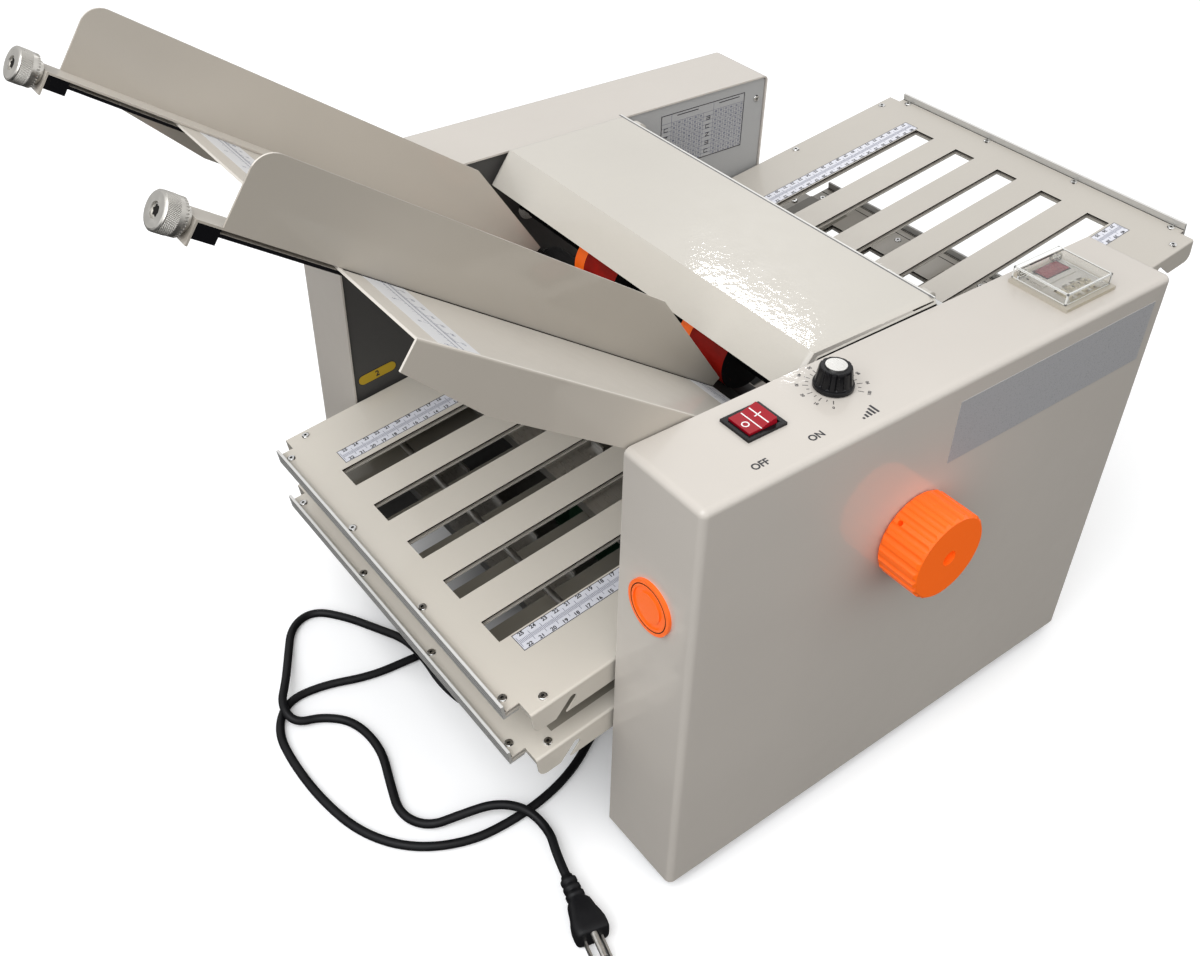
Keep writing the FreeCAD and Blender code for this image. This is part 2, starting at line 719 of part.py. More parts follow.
# Gears and rollers
def gear(centre, teeth, phase, bore):
    pitch = 2 * math.pi / teeth
    points = []
    for tooth in range(teeth):
        for turn_share, height_share in tooth_shares:
            angle = phase + (tooth + turn_share) * pitch
            radius = module * (teeth / 2 + height_share)
            points.append((centre[0] + radius * math.cos(angle), centre[1] + radius * math.sin(angle)))
    blank = prism_y(points, -gear_out_y, -gear_in_y)
    return blank.cut(rod_y(*centre, bore, -gear_out_y - OVERRUN, -gear_in_y + OVERRUN))


def meshed_phase(centre, teeth, phase, next_centre, next_teeth):
    line = math.atan2(next_centre[1] - centre[1], next_centre[0] - centre[0])
    part = ((line - phase) * teeth / (2 * math.pi)) % 1
    return line + math.pi - (2 * math.pi / next_teeth) * (1 / 2 - part)


def drive_pulley(centre, radius):
    body = rod_y(*centre, radius, -pulley_out_y, -pulley_in_y)
    outer = rod_y(*centre, radius + PULLEY_RIM, -pulley_out_y, -pulley_out_y + PULLEY_FLANGE)
    inner = rod_y(*centre, radius + PULLEY_RIM, -pulley_in_y - PULLEY_FLANGE, -pulley_in_y)
    return join([body, outer, inner])


def bored(shape, centre, radius):
    return shape.cut(rod_y(*centre, radius, -half_width, half_width))


def make_rollers():
    phase = 0
    teeth = FIRST_TEETH
    near_end = -gear_out_y - JOURNAL_END
    far_end = frame_out_y + JOURNAL_END
    wheel_end = -half_width - WHEEL_GAP - WHEEL_LENGTH + WHEEL_RECESS_DEPTH
    for index, centre in enumerate(centres):
        number = index + 1
        radius = first_radius if index == 0 else ROLLER_RADIUS
        if index:
            phase = meshed_phase(centres[index - 1], teeth, phase, centre, ROLLER_TEETH)
            teeth = ROLLER_TEETH
        end = {0: wheel_end, 5: -pulley_out_y - JOURNAL_END}.get(index, near_end)
        core = radius - ROLLER_SLEEVE if index % 2 == 0 else radius
        shaft = join([
            rod_y(*centre, core, -roller_half, roller_half),
            rod_y(*centre, JOURNAL_RADIUS, end, far_end),
        ])
        solids = [shaft, gear(centre, teeth, phase, JOURNAL_RADIUS)]
        if index == 5:
            solids.append(bored(drive_pulley(centre, DRIVE_PULLEY_RADIUS), centre, JOURNAL_RADIUS))
        put(f"fold_roller_{number}", *solids)
        if index % 2 == 0:
            reach = roller_half - SLEEVE_SETBACK
            put(f"roller_{number}_sleeve", ring_y(*centre, radius, core, -reach, reach))


def make_feed_drive():
    idler_phase = meshed_phase(centres[0], FIRST_TEETH, 0, idler_centre, IDLER_TEETH)
    feed_phase = meshed_phase(idler_centre, IDLER_TEETH, idler_phase, feed_centre, FEED_TEETH)
    put("idler_gear", gear(idler_centre, IDLER_TEETH, idler_phase, JOURNAL_RADIUS + RUNNING_CLEARANCE))
    shaft = join([
        rod_y(*feed_centre, FEED_SHAFT_RADIUS, -roller_half, roller_half),
        rod_y(*feed_centre, JOURNAL_RADIUS, -gear_out_y - JOURNAL_END, frame_out_y + JOURNAL_END),
    ])
    put("feed_shaft", shaft, gear(feed_centre, FEED_TEETH, feed_phase, JOURNAL_RADIUS))
    core = FEED_WHEEL_RADIUS - FEED_TYRE
    ring_radius = FEED_WHEEL_RADIUS + FEED_RING_LIP - FEED_LIFT
    tyres = []
    hubs = []
    for edge in [share * roller_half for share in feed_wheel_edge_shares]:
        tyres.append(ring_y(*feed_centre, FEED_WHEEL_RADIUS, core, edge - FEED_TYRE_WIDTH, edge))
        hub = rod_y(*feed_centre, core, edge - FEED_TYRE_WIDTH, edge)
        ring = rod_y(*feed_centre, ring_radius, edge, edge + FEED_RING_WIDTH)
        hubs.append(bored(join([hub, ring]), feed_centre, FEED_SHAFT_RADIUS))
    put("feed_wheel_tyres", *tyres)
    put("feed_wheel_hubs", *hubs)


# Motor, pulley and belt
def loop_y(first, first_reach, second, second_reach, y0, y1):
    gap = math.hypot(second[0] - first[0], second[1] - first[1])
    line = math.atan2(second[1] - first[1], second[0] - first[0])
    spread = math.acos((first_reach - second_reach) / gap)

    def touch(centre, reach, angle):
        return (centre[0] + reach * math.cos(angle), centre[1] + reach * math.sin(angle))

    corners = [
        touch(first, first_reach, line + spread), touch(first, first_reach, line - spread),
        touch(second, second_reach, line - spread), touch(second, second_reach, line + spread),
    ]
    return join([
        prism_y(corners, y0, y1), rod_y(*first, first_reach, y0, y1), rod_y(*second, second_reach, y0, y1),
    ])


def make_motor():
    y_near = -frame_in_y
    y_far = y_near + MOTOR_LENGTH
    body = join([
        rod_y(*motor_centre, motor_radius, y_near, y_near + MOTOR_BELL),
        rod_y(*motor_centre, motor_radius - MOTOR_BELL_STEP, y_near + MOTOR_BELL, y_far - MOTOR_BELL),
        rod_y(*motor_centre, motor_radius, y_far - MOTOR_BELL, y_far),
    ])
    bore_radius = MOTOR_SHAFT_RADIUS + RUNNING_CLEARANCE
    bore = rod_y(*motor_centre, bore_radius, y_near - OVERRUN, y_near + MOTOR_BORE_DEPTH)
    put("motor", body.cut(bore))
    tip = y_near + MOTOR_BORE_DEPTH - MOVING_GAP
    shaft = rod_y(*motor_centre, MOTOR_SHAFT_RADIUS, -pulley_out_y, tip)
    put("motor_pulley", join([drive_pulley(motor_centre, MOTOR_PULLEY_RADIUS), shaft]))
    y0 = -pulley_out_y + PULLEY_FLANGE + BELT_SIDE_GAP
    y1 = -pulley_in_y - PULLEY_FLANGE - BELT_SIDE_GAP
    big = DRIVE_PULLEY_RADIUS + MOVING_GAP
    small = MOTOR_PULLEY_RADIUS + MOVING_GAP
    inside = loop_y(centres[5], big, motor_centre, small, y0 - OVERRUN, y1 + OVERRUN)
    outside = loop_y(centres[5], big + BELT_THICKNESS, motor_centre, small + BELT_THICKNESS, y0, y1)
    put("drive_belt", outside.cut(inside))


def make_chutes():
    x1, z1 = centres[0]
    entry = [(x1 + first_radius * a, z1 + first_radius * b) for a, b in entry_chute_shares]
    x6, z6 = centres[5]
    leave = [(x6 + ROLLER_RADIUS * a, z6 + ROLLER_RADIUS * b) for a, b in exit_chute_shares]
    leave.append((EXIT_END_X, leave[1][1]))
    put(
        "paper_chutes",
        strip_y(entry, -CHUTE_PLATE, -frame_in_y, frame_in_y),
        strip_y(leave, -CHUTE_PLATE, -frame_in_y, frame_in_y),
    )


# Feed table and side guides, drawn along the table and then tilted
def make_table():
    plate = box(0, TABLE_LENGTH, -table_half, table_half, -TABLE_PLATE, 0)
    outline = [
        (0, -TABLE_PLATE), (0, -SKIRT_FRONT_DEPTH), (SKIRT_TAPER, -SKIRT_DEPTH),
        (TABLE_LENGTH - SKIRT_DEPTH / 2, -SKIRT_DEPTH), (TABLE_LENGTH, -SKIRT_DEPTH / 2),
        (TABLE_LENGTH, -TABLE_PLATE),
    ]
    skirts = [
        prism_y(outline, side * (table_half - TABLE_PLATE), side * table_half) for side in (-1, 1)
    ]
    table = round_edges(join([plate] + skirts), TABLE_PLATE, lambda edge: top_side_edge(edge, table_half))
    holes = [
        rod_y(s, -TABLE_ROD_DROP, TABLE_ROD_RADIUS, -half_width, half_width) for s in table_rod_places
    ]
    put("feed_table", placed(carve(table, holes), at_table))


def make_guide(name, wall_y, inward):
    low = SEAT_GAP
    outline = [
        (-GUIDE_OUT, low), (-GUIDE_OUT, GUIDE_HEIGHT), (TABLE_LENGTH - GUIDE_SLANT_INSET, GUIDE_HEIGHT),
        (guide_tip, GUIDE_TIP_HEIGHT), (guide_tip - GUIDE_TIP_CHAMFER, low),
    ]
    inner_face = wall_y + inward * GUIDE_SHEET
    wall = prism_y(outline, wall_y, inner_face)
    wall = round_edges(wall, GUIDE_CORNER, lambda edge: crossing_edge(edge, -GUIDE_OUT, GUIDE_HEIGHT))
    flange_y = wall_y + inward * GUIDE_FLANGE
    top = low + GUIDE_SHEET
    tip = -GUIDE_OUT - TONGUE_LENGTH
    flange = box(tip, guide_tip - GUIDE_TIP_HEIGHT, wall_y, flange_y, low, top)
    tab = box(tip, tip + GUIDE_SHEET, wall_y, flange_y, -TAB_DROP, top)
    screw_y = wall_y + inward * GUIDE_FLANGE / 2
    bore_radius = THUMB_SHANK_RADIUS + RUNNING_CLEARANCE
    bore = rod_x(screw_y, -THUMB_DROP, bore_radius, tip - OVERRUN, tip + OVERRUN)
    put(f"{name}_guide", placed(join([wall, flange, tab]).cut(bore), at_table))

    block_x = tip + GUIDE_SHEET
    strip_top = -TABLE_PLATE - MOVING_GAP
    block = box(block_x, block_x + BLOCK_LENGTH, wall_y, flange_y, low - BLOCK_HEIGHT, low)
    block = block.cut(rod_x(screw_y, -THUMB_DROP, bore_radius, block_x - OVERRUN, block_x + BLOCK_LENGTH))
    strip = box(block_x + BLOCK_LENGTH, CLAMP_REACH, wall_y, flange_y, strip_top - CLAMP_PLATE, strip_top)
    put(f"{name}_guide_block", placed(Part.makeCompound([block, strip]), at_table))

    head_end = tip - MOVING_GAP - THUMB_COLLAR
    head = rod_x(screw_y, -THUMB_DROP, THUMB_RADIUS, head_end - THUMB_LENGTH, head_end)
    knurls = []
    for index in range(THUMB_KNURLS):
        angle = 2 * math.pi * index / THUMB_KNURLS
        y = screw_y + THUMB_RADIUS * math.cos(angle)
        z = -THUMB_DROP + THUMB_RADIUS * math.sin(angle)
        tail = head_end - THUMB_LENGTH - OVERRUN
        knurls.append(rod_x(y, z, THUMB_KNURL_RADIUS, tail, head_end + OVERRUN))
    head = head.cut(Part.makeCompound(knurls))
    collar = rod_x(screw_y, -THUMB_DROP, THUMB_COLLAR_RADIUS, head_end, head_end + THUMB_COLLAR)
    shank = rod_x(screw_y, -THUMB_DROP, THUMB_SHANK_RADIUS, head_end, head_end + THUMB_COLLAR + THUMB_SHANK)
    put(f"{name}_guide_screw", placed(join([head, collar, shank]), at_table))


# Fold trays, drawn with X running outward from the tray's inner end and then tilted
def tray_data():
    short = dict(
        slot_end=TRAY_SLOT_END, margin=TRAY_MARGIN, notch=TRAY_NOTCH,
        rod=TRAY_ROD_PLACE, corner=TRAY_CORNER_SCREW, inset=TRAY_SCREW_INSET,
    )
    rear = dict(
        short, slot_end=REAR_TRAY_SLOT_END, margin=REAR_TRAY_MARGIN, notch=REAR_TRAY_NOTCH,
        inset=REAR_TRAY_SCREW_INSET,
    )
    long = dict(
        slot_end=LONG_TRAY_SLOT_END, margin=LONG_TRAY_MARGIN, notch=LONG_TRAY_NOTCH,
        rod=LONG_TRAY_ROD_PLACE, corner=LONG_CORNER_SCREW, inset=TRAY_SCREW_INSET,
    )
    rear_start = roller_line + zigzag + ROLLER_RADIUS - TRAY_REACH
    long_level = first_level - first_radius + LONG_TRAY_RISE
    return {
        1: dict(long, outward=1, start=roller_line + LONG_TRAY_START, level=long_level),
        2: dict(short, outward=-1, start=TRAY_SLOT_END, level=0),
        3: dict(rear, outward=1, start=rear_start, level=-level_step),
        4: dict(short, outward=-1, start=TRAY_SLOT_END - LOWER_TRAY_SHIFT, level=-2 * level_step),
    }


trays = tray_data()


def tray_place(tray):
    return at_tray(tray["start"], tray["level"], tray["outward"])


def tray_outline(tray, half):
    length = tray["slot_end"] + tray["margin"] - CHANNEL_WALL
    shoulder = tray["slot_end"] + tray["margin"] - tray["notch"]
    neck = tray_half - TRAY_NOTCH_WIDTH
    return [
        (0, -half), (shoulder, -half), (shoulder, -neck), (length, -neck),
        (length, neck), (shoulder, neck), (shoulder, half), (0, half),
    ]


def slot_cuts(tray, low, high):
    cuts = []
    for index in range(SLOT_COUNT):
        middle = (index - (SLOT_COUNT - 1) / 2) * slot_pitch
        edges = (middle - slot_width / 2, middle + slot_width / 2)
        cut = box(TRAY_BRIDGE, tray["slot_end"], *edges, low, high)
        cuts.append(cut)
    return cuts


def hook_cut(bottom, direction):
    rise = TRAY_FLANGE - HOOK_TOP
    slant = math.atan2(rise, direction * HOOK_RUN)
    side = (-math.sin(slant) * HOOK_WIDTH / 2, math.cos(slant) * HOOK_WIDTH / 2)
    low = (bottom - direction * HOOK_RUN * OVERRUN / rise, -TRAY_FLANGE - OVERRUN)
    high = (bottom + direction * HOOK_RUN, -HOOK_TOP)
    corners = [
        (low[0] + side[0], low[1] + side[1]), (high[0] + side[0], high[1] + side[1]),
        (high[0] - side[0], high[1] - side[1]), (low[0] - side[0], low[1] - side[1]),
    ]
    reach = half_width
    return join([prism_y(corners, -reach, reach), rod_y(*high, HOOK_WIDTH / 2, -reach, reach)])


def make_tray(number, tray):
    shoulder = tray["slot_end"] + tray["margin"] - tray["notch"]
    half = tray_half
    top = prism_z(tray_outline(tray, half), -TRAY_PLATE, 0)
    flanges = []
    for side in (-1, 1):
        flange = box(0, shoulder, side * (half - TRAY_PLATE), side * half, -TRAY_FLANGE, -TRAY_PLATE)
        flange = round_edges(
            flange, TRAY_FLANGE_CORNER, lambda edge: crossing_edge(edge, shoulder, -TRAY_FLANGE)
        )
        flanges.append(flange)
    shell = round_edges(join([top] + flanges), TRAY_BEND, lambda edge: top_side_edge(edge, half))
    cuts = slot_cuts(tray, -TRAY_PLATE - OVERRUN, OVERRUN)
    cuts.append(hook_cut(HOOK_INNER, 1))
    cuts.append(hook_cut(tray["slot_end"] - HOOK_OFFSET, -1))
    put(f"fold_tray_{number}", placed(carve(shell, cuts), tray_place(tray)))


def make_tray_bases():
    plates = []
    high = -TRAY_PLATE - TRAY_SPACE
    low = high - TRAY_PLATE
    inside = tray_half - TRAY_PLATE
    for tray in trays.values():
        shoulder = tray["slot_end"] + tray["margin"] - tray["notch"]
        plate = prism_z(tray_outline(tray, inside), low, high)
        spacers = [
            box(0, shoulder, side * (inside - SPACER_WIDTH), side * inside, high, -TRAY_PLATE)
            for side in (-1, 1)
        ]
        plate = carve(join([plate] + spacers), slot_cuts(tray, low - OVERRUN, high + OVERRUN))
        plates.append(placed(plate, tray_place(tray)))
    put("tray_base_plates", *plates)


def make_end_channels():
    channels = []
    under = -2 * TRAY_PLATE - TRAY_SPACE
    reach = tray_half - TRAY_NOTCH_WIDTH
    for tray in trays.values():
        end = tray["slot_end"] + tray["margin"]
        face = end - CHANNEL_WALL
        low = under - CHANNEL_LEG_PLATE
        outline = [
            (face - CHANNEL_LEG, low), (end, low), (end, CHANNEL_LIP),
            (face, CHANNEL_LIP), (face, under), (face - CHANNEL_LEG, under),
        ]
        channels.append(placed(prism_y(outline, -reach, reach), tray_place(tray)))
    put("tray_end_channels", *channels)


def stop_place(number, tray):
    return stop_place_shares[number] * tray["slot_end"]


def make_stop(number, tray):
    start = stop_place(number, tray)
    end = start + STOP_WIDTH
    top = -2 * TRAY_PLATE - TRAY_SPACE - MOVING_GAP
    web = box(start, end, -stop_half_span, stop_half_span, top - STOP_SHEET, top)
    sides = [
        box(x, x + STOP_SHEET, -stop_half_span, stop_half_span, top - STOP_DEPTH, top)
        for x in (start, end - STOP_SHEET)
    ]
    fingers = []
    for index in range(SLOT_COUNT):
        middle = (index - (SLOT_COUNT - 1) / 2) * slot_pitch
        low_y = middle - STOP_FINGER_WIDTH / 2
        high_y = low_y + STOP_FINGER_WIDTH
        fingers.append(box(start, start + STOP_SHEET, low_y, high_y, top, -STOP_FINGER_TOP))
    put(f"paper_stop_{number}", placed(join([web] + sides + fingers), tray_place(tray)))


# Screws: pan heads with a socket, on the trays and on the frame plates' inner faces
def screw_head():
    head = rod_z(0, 0, SCREW_RADIUS, 0, SCREW_HEAD)
    head = head.makeFillet(SCREW_HEAD / 2, [e for e in head.Edges if edge_at(e, z=SCREW_HEAD)])
    return head.cut(rod_z(0, 0, SCREW_RECESS, SCREW_HEAD / 2, SCREW_HEAD + OVERRUN))


def make_screws():
    head = screw_head()
    screws = []
    for number, tray in trays.items():
        end = tray["slot_end"] + tray["margin"]
        row = [side * share * tray_half for share in tray_screw_row_shares for side in (-1, 1)]
        spots = [(end - tray["inset"], y) for y in row]
        side_y = tray_half - TRAY_SIDE_SCREW_INSET
        spots += [(tray["slot_end"] + tray["corner"], side * side_y) for side in (-1, 1)]
        if number == 1:
            spots += [(tray["slot_end"] - LONG_SIDE_SCREW, side * side_y) for side in (-1, 1)]
        for x, y in spots:
            here = FreeCAD.Placement(V(x, y, 0), FreeCAD.Rotation())
            screws.append(placed(head, tray_place(tray).multiply(here)))
    for side in (-1, 1):
        turn = FreeCAD.Rotation(V(1, 0, 0), side * 90)
        for x in (-half_length + FRAME_SCREW_INSET_X, half_length - FRAME_SCREW_INSET_X):
            for z in (base_z + FRAME_SCREW_INSET_Z, top_z - FRAME_SCREW_INSET_Z):
                screws.append(placed(head, FreeCAD.Placement(V(x, side * frame_in_y, z), turn)))
    put("machine_screws", *screws)


# Top cover
def make_cover():
    front = (COVER_FRONT_X, cover_front_z)
    crease = (COVER_CREASE_X, cover_crease_z)
    rear = (COVER_REAR_X, cover_rear_z)
    lip_length = math.hypot(crease[0] - front[0], crease[1] - front[1])
    lip = ((crease[0] - front[0]) / lip_length, (crease[1] - front[1]) / lip_length)
    inward = (lip[1], -lip[0])

    def under(depth, extra):
        drop = (crease[0] + inward[0] * depth, crease[1] + inward[1] * depth)
        down = crease[1] - depth
        corner = (drop[0] + (down - drop[1]) * lip[0] / lip[1], down)
        start = tuple(front[i] + inward[i] * depth - lip[i] * extra for i in range(2))
        return start, corner

    start, corner = under(COVER_DEPTH, 0)
    outline = [front, crease, rear, (rear[0], rear[1] - COVER_DEPTH), corner, start]
    shell = prism_y(outline, -cover_half, cover_half)

    def end_edge(edge):
        at_end = abs(abs(edge.CenterOfMass.y) - cover_half) < NIP_GAP
        corners = (front, crease, rear)
        tops = [abs(end.X - x) + abs(end.Z - z) < NIP_GAP for end in edge.Vertexes for x, z in corners]
        return at_end and sum(tops) == 2

    shell = round_edges(shell, COVER_END_BEND, end_edge)
    start, corner = under(COVER_WALL, OVERRUN)
    deep = COVER_DEPTH + OVERRUN
    low_start, low_corner = under(deep, OVERRUN)
    inner = [
        start, corner, (rear[0] - COVER_WALL, corner[1]), (rear[0] - COVER_WALL, corner[1] - deep),
        low_corner, low_start,
    ]
    reach = cover_half - COVER_WALL
    shell = shell.cut(prism_y(inner, -reach, reach))
    ears = []
    for side in (-1, 1):
        y0 = side * (cover_half - EAR_INSET) - EAR_WIDTH / 2
        y1 = y0 + EAR_WIDTH
        low = cover_rod[1] - EAR_RADIUS
        ears.append(rod_y(*cover_rod, EAR_RADIUS, y0, y1))
        high = cover_rod[1] + EAR_RADIUS
        ears.append(box(COVER_REAR_X - 2 * COVER_WALL, cover_rod[0], y0, y1, low, high))
    cover = join([shell] + ears)
    put("top_cover", bored(cover, cover_rod, HINGE_ROD_RADIUS + RUNNING_CLEARANCE))


# Handwheel, front cap and speed knob
def make_handwheel():
    x, z = centres[0]
    y1 = -half_width - WHEEL_GAP
    y0 = y1 - WHEEL_LENGTH
    wheel = rod_y(x, z, WHEEL_RADIUS, y0, y1)
    rims = [edge for edge in wheel.Edges if edge_at(edge, x=x, z=z) and len(edge.Vertexes) < 2]
    wheel = wheel.makeChamfer(WHEEL_CHAMFER, rims)
    cuts = []
    reach = WHEEL_RADIUS + FLUTE_RADIUS - FLUTE_DEPTH
    for index in range(WHEEL_FLUTES):
        angle = 2 * math.pi * (index + 1 / 2) / WHEEL_FLUTES
        flute_x = x + reach * math.cos(angle)
        flute_z = z + reach * math.sin(angle)
        cuts.append(rod_y(flute_x, flute_z, FLUTE_RADIUS, y0 - OVERRUN, y1 + OVERRUN))
    cuts.append(rod_y(x, z, JOURNAL_RADIUS, y0 - OVERRUN, y1 + OVERRUN))
    cuts.append(rod_y(x, z, WHEEL_RECESS_RADIUS, y0 - OVERRUN, y0 + WHEEL_RECESS_DEPTH))
    centre = V(x, y1 - SET_SCREW_INSET, z)
    cuts.append(Part.makeCylinder(SET_SCREW_RADIUS, WHEEL_RADIUS + OVERRUN, centre, V(-1, 0, 1)))
    put("handwheel", carve(wheel, cuts))


def make_front_cap():
    x_face = -half_length
    cap = join([
        rod_x(cap_y, cap_z, CAP_RADIUS, x_face - CAP_FACE, x_face),
        rod_x(cap_y, cap_z, CAP_COLLAR_RADIUS, x_face, x_face + CAP_COLLAR_DEPTH),
    ])
    deep = x_face - CAP_FACE + CAP_GROOVE_DEPTH
    groove = rod_x(cap_y, cap_z, CAP_GROOVE_OUTER, x_face - CAP_FACE - OVERRUN, deep)
    island = rod_x(cap_y, cap_z, CAP_GROOVE_INNER, x_face - CAP_FACE - OVERRUN, deep)
    put("front_cap", cap.cut(groove.cut(island)))


def make_speed_knob():
    low = top_z + MOVING_GAP
    waist = low + KNOB_BASE_HEIGHT
    top = low + KNOB_HEIGHT
    skirt = rod_z(knob_x, knob_y, KNOB_RADIUS, low, waist)
    axis = V(knob_x, knob_y, 0)
    grip_radius = KNOB_RADIUS - KNOB_FLUTE_RADIUS
    grip = Part.makeCone(grip_radius, KNOB_TOP_RADIUS, top - waist, axis + V(0, 0, waist))
    cuts = []
    for index in range(KNOB_FLUTES):
        angle = 2 * math.pi * index / KNOB_FLUTES
        out = V(math.cos(angle), math.sin(angle), 0)
        foot = axis + out * KNOB_RADIUS + V(0, 0, waist)
        head = axis + out * KNOB_TOP_RADIUS + V(0, 0, top + OVERRUN)
        cuts.append(Part.makeCylinder(KNOB_FLUTE_RADIUS, (head - foot).Length, foot, head - foot))
    shaft = rod_z(knob_x, knob_y, KNOB_SHAFT_RADIUS, top_z - KNOB_SHAFT_LENGTH, waist)
    put("speed_knob", join([skirt, grip.cut(Part.makeCompound(cuts)), shaft]))
    put("speed_knob_cap", rod_z(knob_x, knob_y, KNOB_CAP_RADIUS, top, top + KNOB_CAP_HEIGHT))


# Rocker switch
def make_switch():
    rim_z = top_z + SWITCH_RIM
    half_x = SWITCH_LENGTH / 2
    half_y = SWITCH_WIDTH / 2
    rim = box(switch_x - half_x, switch_x + half_x, switch_y - half_y, switch_y + half_y, top_z, rim_z)
    well = switch_opening(0, top_z - SWITCH_DEPTH, rim_z)
    hollow = switch_opening(-SWITCH_WALL, top_z - SWITCH_DEPTH + SWITCH_WALL, rim_z + OVERRUN)
    pin_z = rocker_pin_z
    reach = half_y - SWITCH_RIM_WIDTH
    bezel = join([rim, well]).cut(hollow)
    pin = rod_y(switch_x, pin_z, ROCKER_PIN_RADIUS, switch_y - reach, switch_y + reach)
    put("switch_bezel", join([bezel, pin]))
    high = rim_z + ROCKER_RISE - pin_z
    half = half_x - SWITCH_RIM_WIDTH - high * math.sin(math.radians(ROCKER_ANGLE)) - MOVING_GAP
    outline = [
        (-half, high), (0, high - ROCKER_DIP), (half, high), (half, high - ROCKER_BELLY),
        (half / 2, -ROCKER_BELLY / 2), (-half / 2, -ROCKER_BELLY / 2), (-half, high - ROCKER_BELLY),
    ]
    width = reach - MOVING_GAP
    rocker = prism_y(outline, switch_y - width, switch_y + width)
    rocker = rocker.cut(rod_y(0, 0, ROCKER_PIN_RADIUS + RUNNING_CLEARANCE, -half_width - OVERRUN, 0))
    pressed = FreeCAD.Placement(V(switch_x, 0, pin_z), FreeCAD.Rotation(V(0, 1, 0), -ROCKER_ANGLE))
    put("switch_rocker", placed(rocker, pressed))


# Counter with thumb wheels under a clear lid
def make_counter():
    low = top_z - COUNTER_DEPTH
    rim_z = top_z + COUNTER_RIM
    rim = counter_box(0, top_z, rim_z)
    well = counter_box(COUNTER_WALL, low, top_z)
    hollow = counter_box(2 * COUNTER_WALL, low + COUNTER_WALL, rim_z + OVERRUN)
    panel_gap = 2 * COUNTER_WALL
    case = join([rim, well]).cut(hollow)
    wheel_y, wheel_z = thumb_wheel_axis
    axle_reach = COUNTER_LENGTH / 2 - panel_gap
    axle = rod_x(wheel_y, wheel_z, LID_PIN_RADIUS, counter_x - axle_reach, counter_x + axle_reach)
    hinge_y, hinge_z = lid_hinge
    lugs = []
    for side in (-1, 1):
        knuckle = side * (LID_LENGTH / 2 - LID_LUG_WIDTH - LID_LUG_GAP - LID_KNUCKLE_WIDTH / 2)
        outer = counter_x + knuckle + side * (LID_KNUCKLE_WIDTH / 2 + LID_LUG_GAP)
        edge = outer + side * LID_LUG_WIDTH
        half = LID_KNUCKLE_RADIUS
        lugs.append(box(outer, edge, hinge_y - half, hinge_y + half, rim_z, hinge_z))
        lugs.append(rod_x(hinge_y, hinge_z, half, outer, edge))
        inner = counter_x + knuckle - side * (LID_KNUCKLE_WIDTH / 2 + LID_LUG_GAP)
        lugs.append(rod_x(hinge_y, hinge_z, LID_PIN_RADIUS, inner, edge))
    put("counter_case", join([case, axle] + lugs))

    panel = counter_box(panel_gap, rim_z - COUNTER_PANEL, rim_z)
    slots = []
    wheels = []
    bore = LID_PIN_RADIUS + RUNNING_CLEARANCE
    for index in range(COUNTER_WHEELS):
        middle = counter_x + (index - (COUNTER_WHEELS - 1) / 2) * COUNTER_WHEEL_PITCH
        x0 = middle - COUNTER_WHEEL_WIDTH / 2
        x1 = middle + COUNTER_WHEEL_WIDTH / 2
        reach = COUNTER_WHEEL_RADIUS + MOVING_GAP
        slot = box(x0 - MOVING_GAP, x1 + MOVING_GAP, wheel_y - reach, wheel_y + reach, low, rim_z + OVERRUN)
        slots.append(slot)
        wheel = rod_x(wheel_y, wheel_z, COUNTER_WHEEL_RADIUS, x0, x1)
        wheel = wheel.cut(rod_x(wheel_y, wheel_z, bore, x0 - OVERRUN, x1 + OVERRUN))
        for cog in range(COUNTER_COGS):
            angle = 2 * math.pi * cog / COUNTER_COGS
            y = wheel_y + COUNTER_WHEEL_RADIUS * math.cos(angle)
            z = wheel_z + COUNTER_WHEEL_RADIUS * math.sin(angle)
            wheel = wheel.cut(rod_x(y, z, COUNTER_COG_RADIUS, x0 - OVERRUN, x1 + OVERRUN))
        wheels.append(wheel)
    panel = carve(panel, slots)
    display_y = counter_y + DISPLAY_OFFSET
    display = box(
        counter_x - DISPLAY_LENGTH / 2, counter_x + DISPLAY_LENGTH / 2,
        display_y - DISPLAY_WIDTH / 2, display_y + DISPLAY_WIDTH / 2, rim_z, rim_z + DISPLAY_RISE,
    )
    put("counter_panel", panel, display)
    put("counter_wheels", *wheels)

    lid_low = rim_z + MOVING_GAP
    lid_high = lid_low + LID_HEIGHT
    lid_y1 = hinge_y - LID_KNUCKLE_RADIUS - MOVING_GAP
    lid_y0 = lid_y1 - LID_WIDTH + 2 * LID_KNUCKLE_RADIUS
    half_x = LID_LENGTH / 2
    lid = box(counter_x - half_x, counter_x + half_x, lid_y0, lid_y1, lid_low, lid_high)
    lid = lid.cut(box(
        counter_x - half_x + LID_WALL, counter_x + half_x - LID_WALL,
        lid_y0 + LID_WALL, lid_y1 - LID_WALL, lid_low - OVERRUN, lid_high - LID_WALL,
    ))
    knuckles = []
    for side in (-1, 1):
        middle = counter_x + side * (half_x - LID_LUG_WIDTH - LID_LUG_GAP - LID_KNUCKLE_WIDTH / 2)
        x0 = middle - LID_KNUCKLE_WIDTH / 2
        x1 = middle + LID_KNUCKLE_WIDTH / 2
        knuckles.append(rod_x(hinge_y, hinge_z, LID_KNUCKLE_RADIUS, x0, x1))
        knuckles.append(box(x0, x1, lid_y1 - LID_WALL, hinge_y, lid_low, hinge_z + LID_KNUCKLE_RADIUS))
    pin_hole = rod_x(hinge_y, hinge_z, LID_PIN_RADIUS + RUNNING_CLEARANCE, -half_length, half_length)
    put("counter_cover", join([lid] + knuckles).cut(pin_hole))


